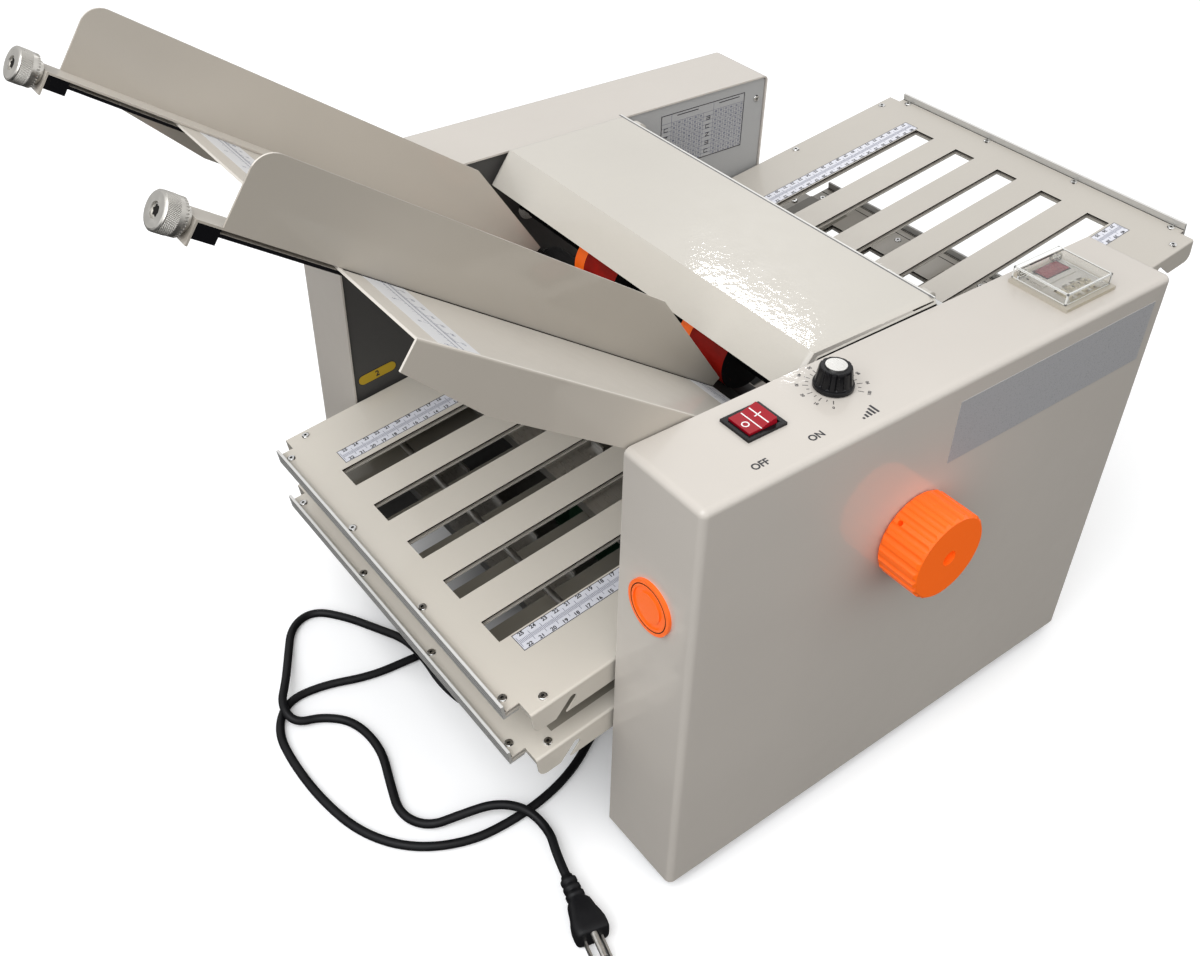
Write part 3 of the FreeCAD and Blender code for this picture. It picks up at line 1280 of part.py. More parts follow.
# Control board on the base plate and the speed control under the knob
def make_control_board():
    low = board_base_z
    board_z = low + BOARD_POST_HEIGHT
    post_x = BOARD_LENGTH / 2 - BOARD_POST_INSET
    post_y = BOARD_WIDTH / 2 - BOARD_POST_INSET
    posts = [
        rod_z(BOARD_X + side_x * post_x, BOARD_Y + side_y * post_y, BOARD_POST_RADIUS, low, board_z)
        for side_x in (-1, 1)
        for side_y in (-1, 1)
    ]
    top = board_z + BOARD_PLATE
    board = box(
        BOARD_X - BOARD_LENGTH / 2, BOARD_X + BOARD_LENGTH / 2,
        BOARD_Y - BOARD_WIDTH / 2, BOARD_Y + BOARD_WIDTH / 2, board_z, top,
    )
    x = BOARD_X - TRANSFORMER_OFFSET
    transformer = box(
        x - TRANSFORMER_LENGTH / 2, x + TRANSFORMER_LENGTH / 2,
        BOARD_Y - TRANSFORMER_WIDTH / 2, BOARD_Y + TRANSFORMER_WIDTH / 2, top, top + TRANSFORMER_HEIGHT,
    )
    capacitor_x = BOARD_X + CAPACITOR_OFFSET
    capacitors = [
        rod_z(capacitor_x, BOARD_Y + side * CAPACITOR_SPREAD, CAPACITOR_RADIUS, top, top + CAPACITOR_HEIGHT)
        for side in (-1, 1)
    ]
    skin = top_z - HOUSING_WALL
    control = rod_z(knob_x, knob_y, CONTROL_RADIUS, skin - CONTROL_HEIGHT, skin)
    control_bore = KNOB_SHAFT_RADIUS + RUNNING_CLEARANCE
    low = skin - CONTROL_HEIGHT - OVERRUN
    control = control.cut(rod_z(knob_x, knob_y, control_bore, low, skin + OVERRUN))
    put("control_board", *posts, board, transformer, *capacitors, control)


# Mains lead
def corner_data(points):
    corners = []
    for index in range(1, len(points) - 1):
        back = points[index] - points[index - 1]
        ahead = points[index + 1] - points[index]
        turn = back.getAngle(ahead)
        shorter = min(back.Length, ahead.Length)
        corners.append((points[index], back.normalize(), ahead.normalize(), turn, ARC_SHARE * shorter))
    return corners


def make_cord():
    points = [V(*point) for point in CORD_ROUTE]
    edges = []
    radii = []
    last = points[0]
    for corner, back, ahead, turn, reach in corner_data(points):
        radius = reach / math.tan(turn / 2)
        radii.append(round(radius, 1))
        start = corner - back * reach
        end = corner + ahead * reach
        bisector = (ahead - back).normalize()
        middle = corner + bisector * (radius / math.cos(turn / 2) - radius)
        edges.append(Part.LineSegment(last, start).toShape())
        edges.append(Part.Arc(start, middle, end).toShape())
        last = end
    edges.append(Part.LineSegment(last, points[-1]).toShape())
    path = Part.Wire(edges)
    length = path.Length
    start_face = Part.Wire(Part.makeCircle(CORD_RADIUS, points[0], points[1] - points[0]))
    tube = path.makePipeShell([start_face], True, False, 2)
    section = math.pi * CORD_RADIUS ** 2
    print("cord radii", radii)
    print("cord length", round(length, 1), "volume share", round(tube.Volume / (section * length), 4))
    put("mains_cord", tube)


def make_gland():
    x, z = GLAND_X, GLAND_Z
    y0 = -frame_in_y
    flange = rod_y(x, z, GLAND_FLANGE_RADIUS, y0, y0 + GLAND_FLANGE)
    start = V(x, y0 + GLAND_FLANGE, z)
    sleeve_length = GLAND_LENGTH - GLAND_FLANGE
    sleeve = Part.makeCone(GLAND_WIDE_RADIUS, GLAND_NARROW_RADIUS, sleeve_length, start, V(0, 1, 0))
    put("cord_gland", join([flange, sleeve]))


def make_plug():
    z = PLUG_THICKNESS / 2
    neck = Part.makeCone(PLUG_NECK_RADIUS, PLUG_SHOULDER_RADIUS, PLUG_NECK_LENGTH, V(0, 0, z), V(1, 0, 0))
    start = PLUG_NECK_LENGTH - PLUG_BEVEL
    end = PLUG_NECK_LENGTH + PLUG_LENGTH
    outline = [
        (start, -PLUG_WAIST / 2), (start + PLUG_LENGTH / 3, -PLUG_WIDTH / 2), (end, -PLUG_WIDTH / 2),
        (end, PLUG_WIDTH / 2), (start + PLUG_LENGTH / 3, PLUG_WIDTH / 2), (start, PLUG_WAIST / 2),
    ]
    body = prism_z(outline, 0, PLUG_THICKNESS)
    body = body.makeFillet(PLUG_BEVEL, body.Edges)
    last = CORD_ROUTE[-1]
    here = FreeCAD.Placement(V(last[0], last[1], 0), FreeCAD.Rotation(V(0, 0, 1), PLUG_TURN))
    put("plug_body", placed(join([neck, body]), here))
    blade_z = z - PRONG_DROP
    blades = [
        box(
            end, end + PRONG_LENGTH, side * PRONG_PITCH / 2 - PRONG_THICKNESS / 2,
            side * PRONG_PITCH / 2 + PRONG_THICKNESS / 2,
            blade_z - PRONG_WIDTH / 2, blade_z + PRONG_WIDTH / 2,
        )
        for side in (-1, 1)
    ]
    ground = rod_x(0, z + GROUND_RISE, GROUND_RADIUS, end, end + GROUND_LENGTH)
    put("plug_prongs", placed(Part.makeCompound(blades + [ground]), here))


def main():
    make_housings()
    make_frames()
    make_feet()
    make_base()
    make_rods()
    make_rollers()
    make_feed_drive()
    make_motor()
    make_chutes()
    make_table()
    for name, share, inward in guide_data:
        make_guide(name, share * table_half, inward)
    for number, tray in trays.items():
        make_tray(number, tray)
        make_stop(number, tray)
    make_tray_bases()
    make_end_channels()
    make_screws()
    make_cover()
    make_handwheel()
    make_front_cap()
    make_speed_knob()
    make_switch()
    make_counter()
    make_control_board()
    make_cord()
    make_gland()
    make_plug()
    os.makedirs("parts", exist_ok=True)
    for name, shape in nodes.items():
        shape.exportStep(f"parts/{name}.step")
    print(len(nodes), "nodes")


main()
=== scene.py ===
import json
import math

import bpy
from mathutils import Matrix, Vector


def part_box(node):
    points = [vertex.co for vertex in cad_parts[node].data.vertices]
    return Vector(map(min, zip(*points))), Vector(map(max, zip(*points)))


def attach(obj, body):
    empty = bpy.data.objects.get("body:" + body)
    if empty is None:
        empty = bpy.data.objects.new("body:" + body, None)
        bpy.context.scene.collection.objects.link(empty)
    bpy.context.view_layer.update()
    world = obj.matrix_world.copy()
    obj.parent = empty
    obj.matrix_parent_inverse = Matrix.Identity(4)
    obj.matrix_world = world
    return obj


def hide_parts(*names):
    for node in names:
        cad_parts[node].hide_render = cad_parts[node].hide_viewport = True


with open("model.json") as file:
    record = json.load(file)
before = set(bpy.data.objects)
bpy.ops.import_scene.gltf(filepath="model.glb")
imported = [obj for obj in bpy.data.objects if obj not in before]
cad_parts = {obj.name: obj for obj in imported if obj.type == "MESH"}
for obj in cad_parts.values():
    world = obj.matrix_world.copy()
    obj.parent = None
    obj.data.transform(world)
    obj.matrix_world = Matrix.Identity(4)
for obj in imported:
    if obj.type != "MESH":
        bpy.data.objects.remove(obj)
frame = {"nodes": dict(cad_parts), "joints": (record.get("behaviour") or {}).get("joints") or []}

# Desk paper folding machine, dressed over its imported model. Metres. +X runs back from the feed
# table along the housings, +Y from the control side to the far side, +Z is up.

# Camera and light
CAMERA_PLACE = (-0.5899, -0.6324, 0.8368)
CAMERA_TURN = (51.289, -2.271, -38.177)
CAMERA_LENS = 38.11
CAMERA_SENSOR = 36.0
CAMERA_SHIFT = (-0.03425, -0.02467)
CAMERA_CLIP = 0.01
FLOOR_SIZE = 80.0
FLOOR_TINT = (0.97, 0.97, 0.97)
FLOOR_GLOW = 0.15
SKY_TINT = (1.0, 1.0, 1.0)
SKY_STRENGTH = 0.93
SKY_LOW = 0.05
SKY_HORIZON = (-0.06, 0.0)
SKY_NEAR_SHARES = (1.25, 0.75)
KEY_LIGHT = {
    "place": (-1.2, -0.4, 1.5), "target": (-0.2, 0.0, 0.15), "size": 1.4, "power": 18.0,
    "tint": (0.98, 1.0, 1.03),
}
SPARK_LIGHT = {
    "place": (0.825, 0.775, 1.195), "target": (-0.0656, -0.1296, 0.376), "size": 0.24, "power": 0.7,
    "width": 0.04, "along": (0.0, 1.0, 0.0),
}

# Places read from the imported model's own drawing
ACROSS = Vector((0, 1, 0))
TRAY_ORIGIN = Vector((-0.27431, 0, 0.17875))
TRAY_ALONG = Vector((0.98963, 0, 0.14367))
TRAY_UP = TRAY_ALONG.cross(ACROSS)
TABLE_ORIGIN = Vector((-0.35217, 0, 0.49738))
TABLE_ALONG = Vector((0.822144, 0, -0.56928))
REAR_TRAY_LEVEL = 0.0334
LOW_REAR_LEVEL = -0.025
LOW_FRONT_LEVEL = -0.05
TABLE_HALF_WIDTH = 0.1805
INK_HEIGHT = 0.00008
TRIM_HEIGHT = 0.0001
LABEL_HEIGHT = 0.00015

# The lead's route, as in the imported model
CORD_ROUTE = (
    (-0.124, -0.1505, 0.024), (-0.124, -0.128, 0.024), (-0.135, -0.108, 0.017),
    (-0.156, -0.098, 0.008), (-0.182, -0.104, 0.0035), (-0.212, -0.122, 0.0035),
    (-0.246, -0.133, 0.0035), (-0.284, -0.136, 0.0035), (-0.32, -0.132, 0.0035),
    (-0.356, -0.112, 0.0035), (-0.38, -0.078, 0.0035), (-0.39, -0.034, 0.0035),
    (-0.392, 0.012, 0.0035), (-0.388, 0.048, 0.0035), (-0.368, 0.072, 0.0035),
    (-0.336, 0.07, 0.0035), (-0.299, 0.055, 0.0035), (-0.26, 0.052, 0.0035),
    (-0.222, 0.048, 0.0035), (-0.19, 0.034, 0.0035), (-0.175, 0.004, 0.0035),
    (-0.187, -0.028, 0.0035), (-0.218, -0.041, 0.0035), (-0.249, -0.027, 0.004),
    (-0.258, 0.006, 0.009), (-0.256, 0.038, 0.013), (-0.258, 0.068, 0.012),
    (-0.268, 0.098, 0.005), (-0.284, 0.13, 0.0035), (-0.304, 0.153, 0.0035),
    (-0.328, 0.146, 0.0035), (-0.346, 0.114, 0.006), (-0.362, 0.084, 0.012),
    (-0.376, 0.064, 0.012), (-0.374, 0.045, 0.006), (-0.352, 0.04, 0.0035),
    (-0.333, 0.02, 0.0035), (-0.329, -0.016, 0.0035), (-0.34, -0.05, 0.0035),
    (-0.349, -0.08, 0.0035), (-0.337, -0.103, 0.004), (-0.312, -0.11, 0.007),
    (-0.287, -0.12, 0.012), (-0.27, -0.138, 0.011), (-0.266, -0.162, 0.006),
    (-0.2752, -0.1836, 0.01), (-0.28, -0.203, 0.01),
)
CORD_DIAMETER = 0.007
PLUG_TURN = -104.0

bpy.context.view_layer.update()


# Shader helpers
def new_material(name, colour, roughness, metallic=0.0):
    material = bpy.data.materials.new(name)
    material.use_nodes = True
    shader = material.node_tree.nodes["Principled BSDF"]
    shader.inputs["Base Color"].default_value = (*colour, 1)
    shader.inputs["Roughness"].default_value = roughness
    shader.inputs["Metallic"].default_value = metallic
    return material, shader


def noise(shader, scale, detail=2.0, stretch=(1, 1, 1), distortion=0.0):
    nodes = shader.id_data.nodes
    links = shader.id_data.links
    coordinates = nodes.new("ShaderNodeTexCoord")
    mapping = nodes.new("ShaderNodeMapping")
    mapping.inputs["Scale"].default_value = stretch
    links.new(coordinates.outputs["Object"], mapping.inputs["Vector"])
    texture = nodes.new("ShaderNodeTexNoise")
    texture.inputs["Scale"].default_value = scale
    texture.inputs["Detail"].default_value = detail
    texture.inputs["Distortion"].default_value = distortion
    links.new(mapping.outputs["Vector"], texture.inputs["Vector"])
    return texture.outputs["Fac"]


def remap(shader, value, low, high, from_low=0.3, from_high=0.7):
    node = shader.id_data.nodes.new("ShaderNodeMapRange")
    node.inputs["From Min"].default_value = from_low
    node.inputs["From Max"].default_value = from_high
    node.inputs["To Min"].default_value = low
    node.inputs["To Max"].default_value = high
    shader.id_data.links.new(value, node.inputs["Value"])
    return node.outputs["Result"]


def vary_colour(shader, value, first, second):
    mix = shader.id_data.nodes.new("ShaderNodeMix")
    mix.data_type = "RGBA"
    mix.inputs["A"].default_value = (*first, 1)
    mix.inputs["B"].default_value = (*second, 1)
    shader.id_data.links.new(value, mix.inputs["Factor"])
    shader.id_data.links.new(mix.outputs["Result"], shader.inputs["Base Color"])


def vary_roughness(shader, value, low, high):
    shader.id_data.links.new(remap(shader, value, low, high), shader.inputs["Roughness"])


def add_bump(shader, value, strength, distance, under=None):
    links = shader.id_data.links
    bump = shader.id_data.nodes.new("ShaderNodeBump")
    bump.inputs["Strength"].default_value = strength
    bump.inputs["Distance"].default_value = distance
    links.new(value, bump.inputs["Height"])
    if under is not None:
        links.new(under, bump.inputs["Normal"])
    links.new(bump.outputs["Normal"], shader.inputs["Normal"])
    return bump.outputs["Normal"]


def tinted(colour, share):
    return tuple(channel * share for channel in colour)


def mottle(shader, value, colour, low, high=1.0):
    share = remap(shader, value, 0.0, 1.0)
    vary_colour(shader, share, tinted(colour, low), tinted(colour, high))


# Materials
def sprayed_paint(name, colour, roughness=0.36, peel=0.00013, coat=0.6, wave=230.0):
    material, shader = new_material(name, colour, roughness)
    mottle(shader, noise(shader, 5.0, 3.0), colour, 0.965, 1.03)
    vary_roughness(shader, noise(shader, 60.0, 4.0), roughness - 0.05, roughness + 0.07)
    fine = add_bump(shader, noise(shader, 1400.0, 1.0), 0.12, 0.00006)
    waves = add_bump(shader, noise(shader, wave, 2.0), 0.35, peel, fine)
    shader.id_data.links.new(waves, shader.inputs["Coat Normal"])
    shader.inputs["Specular IOR Level"].default_value = 0.25
    shader.inputs["Coat Weight"].default_value = coat
    shader.inputs["Coat Roughness"].default_value = 0.05
    return material


# Frame plate paint: grey at the rear, darker towards the front end as painted shade under the feed table
# and in the throat; the span of the change is along X, in metres
FRAME_SHADE_SPAN = (0.0, 0.07)


def frame_paint(name, front_shade_colour, rear_colour):
    material, shader = new_material(name, rear_colour, 0.5)
    nodes = shader.id_data.nodes
    coordinates = nodes.new("ShaderNodeTexCoord")
    split = nodes.new("ShaderNodeSeparateXYZ")
    shader.id_data.links.new(coordinates.outputs["Object"], split.inputs["Vector"])
    share = remap(shader, split.outputs["X"], 0.0, 1.0, *FRAME_SHADE_SPAN)
    vary_colour(shader, share, front_shade_colour, rear_colour)
    shader.inputs["Specular IOR Level"].default_value = 0.2
    speckle = noise(shader, 230.0, 2.0)
    vary_roughness(shader, speckle, 0.44, 0.58)
    add_bump(shader, speckle, 0.3, 0.0001)
    return material


BRUSH_STRETCH = (30, 1, 30)


def brushed_metal(name, colour, roughness, metallic=1.0):
    material, shader = new_material(name, colour, roughness, metallic)
    grain = noise(shader, 90.0, 3.0, BRUSH_STRETCH)
    mottle(shader, grain, colour, 0.86)
    vary_roughness(shader, grain, roughness - 0.08, roughness + 0.1)
    add_bump(shader, grain, 0.15, 0.00005)
    return material


def zinc_sheet(name, colour):
    material, shader = new_material(name, colour, 0.42, 0.85)
    cloud = noise(shader, 35.0, 5.0, distortion=0.6)
    mottle(shader, cloud, colour, 0.8)
    vary_roughness(shader, cloud, 0.34, 0.52)
    add_bump(shader, noise(shader, 500.0, 2.0), 0.1, 0.00008)
    return material


def polished_metal(name, colour, roughness=0.14):
    material, shader = new_material(name, colour, roughness, 1.0)
    haze = noise(shader, 160.0, 4.0)
    vary_roughness(shader, haze, roughness * 0.7, roughness * 1.6)
    mottle(shader, haze, colour, 0.93)
    return material


def moulded_plastic(name, colour, roughness, grain=0.00006, glow=0.0, sheen=0.5):
    material, shader = new_material(name, colour, roughness)
    shader.inputs["Specular IOR Level"].default_value = sheen
    shader.inputs["Emission Color"].default_value = (*colour, 1)
    shader.inputs["Emission Strength"].default_value = glow
    mottle(shader, noise(shader, 24.0, 3.0), colour, 0.95)
    speckle = noise(shader, 900.0, 2.0)
    vary_roughness(shader, speckle, roughness - 0.05, roughness + 0.06)
    add_bump(shader, speckle, 0.25, grain)
    return material


def rubber(name, colour, roughness=0.6):
    material, shader = new_material(name, colour, roughness)
    shader.inputs["Specular IOR Level"].default_value = 0.2
    wear = noise(shader, 70.0, 5.0)
    mottle(shader, wear, colour, 0.75, 1.2)
    vary_roughness(shader, wear, roughness - 0.08, roughness + 0.12)
    add_bump(shader, noise(shader, 1200.0, 2.0), 0.3, 0.00012)
    return material


def clear_plastic(name):
    material, shader = new_material(name, (0.97, 0.97, 0.95), 0.05)
    shader.inputs["Transmission Weight"].default_value = 1.0
    shader.inputs["IOR"].default_value = 1.45
    add_bump(shader, noise(shader, 80.0, 2.0), 0.1, 0.0001)
    return material


def printed_label(name, colour, roughness=0.4):
    material, shader = new_material(name, colour, roughness)
    fibre = noise(shader, 1500.0, 2.0)
    mottle(shader, fibre, colour, 0.96)
    vary_roughness(shader, fibre, roughness - 0.05, roughness + 0.08)
    return material


# Painted shadow: a soft darker zone of the floor under the machine, where the floor's glow also fades
UNDER_MIDDLE = (-0.06, 0.08)
UNDER_REACH = (0.19, 0.12)
UNDER_EDGE = (0.45, 1.2)
UNDER_SHADOW_SHARE = 0.2


def stage_paint(name, colour):
    material, shader = new_material(name, colour, 0.9)
    nodes = shader.id_data.nodes
    links = shader.id_data.links
    coordinates = nodes.new("ShaderNodeTexCoord")
    mapping = nodes.new("ShaderNodeMapping")
    mapping.vector_type = "TEXTURE"
    mapping.inputs["Location"].default_value = (*UNDER_MIDDLE, 0)
    mapping.inputs["Scale"].default_value = (*UNDER_REACH, 1)
    links.new(coordinates.outputs["Object"], mapping.inputs["Vector"])
    reach = nodes.new("ShaderNodeVectorMath")
    reach.operation = "LENGTH"
    links.new(mapping.outputs["Vector"], reach.inputs[0])
    open_floor = remap(shader, reach.outputs["Value"], 0.0, 1.0, *UNDER_EDGE)
    vary_colour(shader, open_floor, tinted(colour, UNDER_SHADOW_SHARE), colour)
    shader.inputs["Emission Color"].default_value = (1, 1, 1, 1)
    glow = remap(shader, open_floor, 0.0, FLOOR_GLOW, 0.0, 1.0)
    links.new(glow, shader.inputs["Emission Strength"])
    return material


def make_materials():
    return {
        "housing": sprayed_paint("housing_paint", (0.57, 0.53, 0.48)),
        "cover": sprayed_paint("cover_paint", (0.56, 0.53, 0.475), 0.36, 0.0004, wave=150.0),
        # One cream paint in lit and shaded copies: the rear trays and base plates a little darker as
        # painted shade, the front trays lighter as painted light
        "tray": sprayed_paint("tray_paint", (0.53, 0.495, 0.44)),
        "front_tray": sprayed_paint("front_tray_painted_light", (0.66, 0.615, 0.54)),
        # Tray paint darkened as painted shade, for the lower trays under the trays above
        "low_tray": sprayed_paint("low_tray_painted_shade", (0.26, 0.24, 0.2)),
        # The same cream paint again: the table's copy lighter as painted light, the guides' copies darker
        # as painted shade, the near guide's darkest
        "table": sprayed_paint("table_painted_light", (0.62, 0.58, 0.52)),
        "guide": sprayed_paint("guide_painted_shade", (0.46, 0.42, 0.365)),
        "near_guide": sprayed_paint("near_guide_painted_shade", (0.39, 0.355, 0.305)),
        # Near frame plate painted near black as painted shade; the plate itself is grey
        "frame_in_shade": sprayed_paint("frame_painted_shade", (0.02, 0.02, 0.02), 0.5, coat=0.1),
        # Far frame plate: grey, with painted shade on its front part
        "frame_shaded_front": frame_paint("frame_grey", (0.075, 0.073, 0.07), (0.4, 0.4, 0.395)),
        "zinc": zinc_sheet("zinc_sheet", (0.48, 0.46, 0.42)),
        # Zinc sheet darkened as painted shade, for the paper chutes inside the machine
        "dark_zinc": zinc_sheet("zinc_sheet_painted_shade", (0.06, 0.06, 0.058)),
        "steel": brushed_metal("turned_steel", (0.55, 0.54, 0.52), 0.34),
        "chrome": polished_metal("bright_steel", (0.82, 0.82, 0.81)),
        "nickel": polished_metal("nickel_plate", (0.62, 0.60, 0.56), 0.34),
        "alloy": brushed_metal("drawn_alloy", (0.80, 0.79, 0.76), 0.3),
        "channel": brushed_metal("channel_alloy", (0.66, 0.65, 0.62), 0.42, 0.4),
        "black": moulded_plastic("black_plastic", (0.005, 0.005, 0.006), 0.2, sheen=0.22),
        "black_dull": moulded_plastic("black_dull_plastic", (0.01, 0.01, 0.011), 0.5, sheen=0.15),
        "gear": moulded_plastic("gear_plastic", (0.62, 0.58, 0.48), 0.45),
        "grey_rubber": rubber("grey_rubber", (0.035, 0.035, 0.035)),
        "foot_rubber": rubber("foot_rubber", (0.02, 0.02, 0.02)),
        "wheel_rubber": rubber("wheel_rubber", (0.34, 0.009, 0.004), 0.5),
        "cord_rubber": rubber("cord_rubber", (0.008, 0.008, 0.009), 0.42),
        # Orange plastic with a painted glow: emission that keeps it bright even in shade
        "orange": moulded_plastic("orange_plastic", (0.95, 0.14, 0.008), 0.34, glow=0.22),
        "red": moulded_plastic("red_plastic", (0.33, 0.004, 0.014), 0.1, 0.00001),
        "window": moulded_plastic("window_plastic", (0.24, 0.02, 0.035), 0.12, 0.00001),
        "digit": moulded_plastic("digit_plastic", (0.36, 0.06, 0.07), 0.2, 0.00001),
        "clear": clear_plastic("clear_plastic"),
        "cream": moulded_plastic("cream_plastic", (0.60, 0.54, 0.42), 0.4),
        "case": moulded_plastic("case_plastic", (0.46, 0.42, 0.35), 0.4),
        "khaki": moulded_plastic("khaki_plastic", (0.42, 0.37, 0.27), 0.4),
        "panel": moulded_plastic("panel_plastic", (0.66, 0.63, 0.59), 0.4),
        # Green board darkened as painted shade
        "board": moulded_plastic("board_green", (0.012, 0.045, 0.022), 0.35),
        "ruler": printed_label("ruler_film", (0.74, 0.745, 0.80)),
        "strip": printed_label("strip_film", (0.66, 0.66, 0.67)),
        "ink": printed_label("black_ink", (0.02, 0.02, 0.024), 0.35),
        "slate_ink": printed_label("slate_ink", (0.14, 0.15, 0.21), 0.35),
        "white_ink": printed_label("white_ink", (0.85, 0.85, 0.84), 0.3),
        "silver": printed_label("silver_film", (0.42, 0.42, 0.43), 0.3),
        "chart": printed_label("chart_film", (0.42, 0.42, 0.42), 0.3),
        "yellow": printed_label("yellow_film", (0.52, 0.34, 0.01), 0.4),
        # Painted shade lines, in the end channels' grooves and along the cover's rear edge
        "shade_line": printed_label("groove_shade", (0.12, 0.12, 0.125), 0.4),
        # Painted shadow, for recesses, gaps, joints and shaded faces
        "shadow": moulded_plastic("painted_shadow", (0.012, 0.011, 0.01), 0.7, sheen=0.1),
        # Painted highlight for the clear lid's edges
        "lid_edge_highlight": moulded_plastic("clear_edge_highlight", (0.72, 0.72, 0.69), 0.2),
        # Painted highlight on the end channels' lips and on the cover's rear edge
        "painted_highlight": moulded_plastic("painted_highlight", (0.72, 0.71, 0.69), 0.35),
    }


paint = make_materials()

NODE_PAINT = {
    "near_housing": "housing", "far_housing": "housing", "top_cover": "cover", "feed_table": "table",
    "near_guide": "near_guide", "far_guide": "guide", "near_frame": "frame_in_shade", "far_frame": "frame_shaded_front",
    "base_plate": "zinc", "rubber_feet": "foot_rubber", "tie_rods": "steel", "cover_hinge_rod": "chrome",
    "fold_tray_2": "front_tray", "fold_tray_4": "front_tray",
    "tray_base_plates": "tray", "tray_end_channels": "channel", "machine_screws": "chrome",
    "roller_bearings": "chrome", "paper_chutes": "dark_zinc",
    "motor": "black_dull", "drive_belt": "foot_rubber",
    "front_cap": "orange", "switch_bezel": "black", "counter_case": "case", "counter_panel": "panel",
    "control_board": "board", "cord_gland": "black_dull", "mains_cord": "cord_rubber",
    # The feed shaft takes the black plastic as painted shade in the throat; the shaft is steel
    "plug_body": "black_dull", "plug_prongs": "nickel", "feed_shaft": "black",
    "feed_wheel_tyres": "wheel_rubber", "feed_wheel_hubs": "orange", "idler_gear": "gear",
    "motor_pulley": "alloy", "handwheel": "orange", "speed_knob": "black", "speed_knob_cap": "alloy",
    "switch_rocker": "red", "counter_cover": "clear", "counter_wheels": "cream",
    "near_guide_block": "guide", "far_guide_block": "guide",
    "near_guide_screw": "nickel", "far_guide_screw": "nickel",
}
NAME_STARTS = {"fold_tray": "tray", "fold_roller": "steel", "roller_": "grey_rubber", "paper_stop": "steel"}


def dress_nodes():
    for name, node in frame["nodes"].items():
        starts = [kind for start, kind in NAME_STARTS.items() if name.startswith(start)]
        kind = NODE_PAINT.get(name) or starts[0]
        node.data.materials.clear()
        node.data.materials.append(paint[kind])


COVER_END = 0.17
SLOT_REACH = 0.118
TRAY_START_GAP = 0.001
SQUARE_SHARE = 0.9
FLANGE_SHARE = 0.7
SKIRT_SHARE = 0.6
WALL_SHARE = 0.5


def near_face(centre, normal):
    return normal.y < -SQUARE_SHARE


def cover_end(centre, normal):
    return near_face(centre, normal) and centre.y < -COVER_END


def slot_wall(centre, normal):
    inside = abs(centre.y) < SLOT_REACH and abs(centre.x - TRAY_ORIGIN[0]) > TRAY_START_GAP
    return inside and abs(normal.z) < WALL_SHARE


def guide_flange(centre, normal):
    return normal.z > FLANGE_SHARE


def table_skirt(centre, normal):
    return normal.y < -SKIRT_SHARE


# Faces painted as light and shade: the feed wheels' near end faces black as painted shade in the throat,
# the cover's near end face as painted shadow, the fold trays' slot walls as painted shade, the guides'
# up-facing faces in the table's lighter copy as painted light, and the table's near skirt in the guides'
# darker copy as painted shade
FACE_PAINT = {
    near_face: ("black_dull", "feed_wheel_hubs", "feed_wheel_tyres"),
    cover_end: ("shadow", "top_cover"),
    slot_wall: ("shadow", "fold_tray_1", "fold_tray_2", "fold_tray_3", "fold_tray_4"),
    guide_flange: ("table", "near_guide", "far_guide"),
    table_skirt: ("guide", "feed_table"),
}


def dress_faces():
    for wanted, (kind, *names) in FACE_PAINT.items():
        for mesh in [frame["nodes"][name].data for name in names]:
            mesh.materials.append(paint[kind])
            for face in mesh.polygons:
                if wanted(face.center, face.normal):
                    face.material_index = 1


def islands(mesh):
    group = list(range(len(mesh.vertices)))

    def top(index):
        while group[index] != index:
            group[index] = group[group[index]]
            index = group[index]
        return index

    for edge in mesh.edges:
        first, second = (top(index) for index in edge.vertices)
        group[second] = first
    found = {}
    for face in mesh.polygons:
        found.setdefault(top(face.vertices[0]), []).append(face)
    return list(found.values())


SCREW_SOCKET_RADIUS = 0.00125


# Faces inside each screw's socket take the painted shadow
def dress_sockets():
    mesh = frame["nodes"]["machine_screws"].data
    mesh.materials.append(paint["shadow"])
    for faces in islands(mesh):
        rim = [mesh.vertices[index].co for face in faces for index in face.vertices]
        middle = sum(rim, Vector()) / len(rim)
        widest = max(faces, key=lambda face: face.area)
        axis = widest.normal
        for face in faces:
            out = face.center - middle
            off_axis = out - axis * out.dot(axis)
            if off_axis.length < SCREW_SOCKET_RADIUS and face is not widest:
                face.material_index = 1


BLOCK_LENGTH = 0.03


def dress_blocks():
    for side in ("near", "far"):
        mesh = frame["nodes"][f"{side}_guide_block"].data
        mesh.materials.append(paint["black"])
        for faces in islands(mesh):
            places = [mesh.vertices[index].co.x for face in faces for index in face.vertices]
            block = max(places) - min(places) < BLOCK_LENGTH
            for face in faces:
                if block or near_face(face.center, face.normal):
                    face.material_index = 1


# Shape helpers
def add_object(name, data):
    added = bpy.data.objects.new(name, data)
    bpy.context.scene.collection.objects.link(added)
    return added


def plane(origin, along, across):
    along = Vector(along).normalized()
    across = Vector(across).normalized()
    place = Matrix((along, across, along.cross(across))).transposed().to_4x4()
    place.translation = Vector(origin)
    return place


def top_plane(x, y, z):
    return plane((x, y, z), (1, 0, 0), (0, 1, 0))


def near_plane(x, y, z):
    return plane((x, y, z), (1, 0, 0), (0, 0, 1))


def lifted(place, level):
    return place @ Matrix.Translation((0, 0, level))


def piece(name, points, faces, material, body="root", smooth=False):
    mesh = bpy.data.meshes.new(name)
    mesh.from_pydata([tuple(point) for point in points], [], faces)
    mesh.materials.append(paint[material])
    if smooth:
        mesh.shade_smooth()
    mesh.update()
    built = add_object(name, mesh)
    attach(built, body)
    return built


CORNERS = ((-1, -1), (1, -1), (1, 1), (-1, 1))


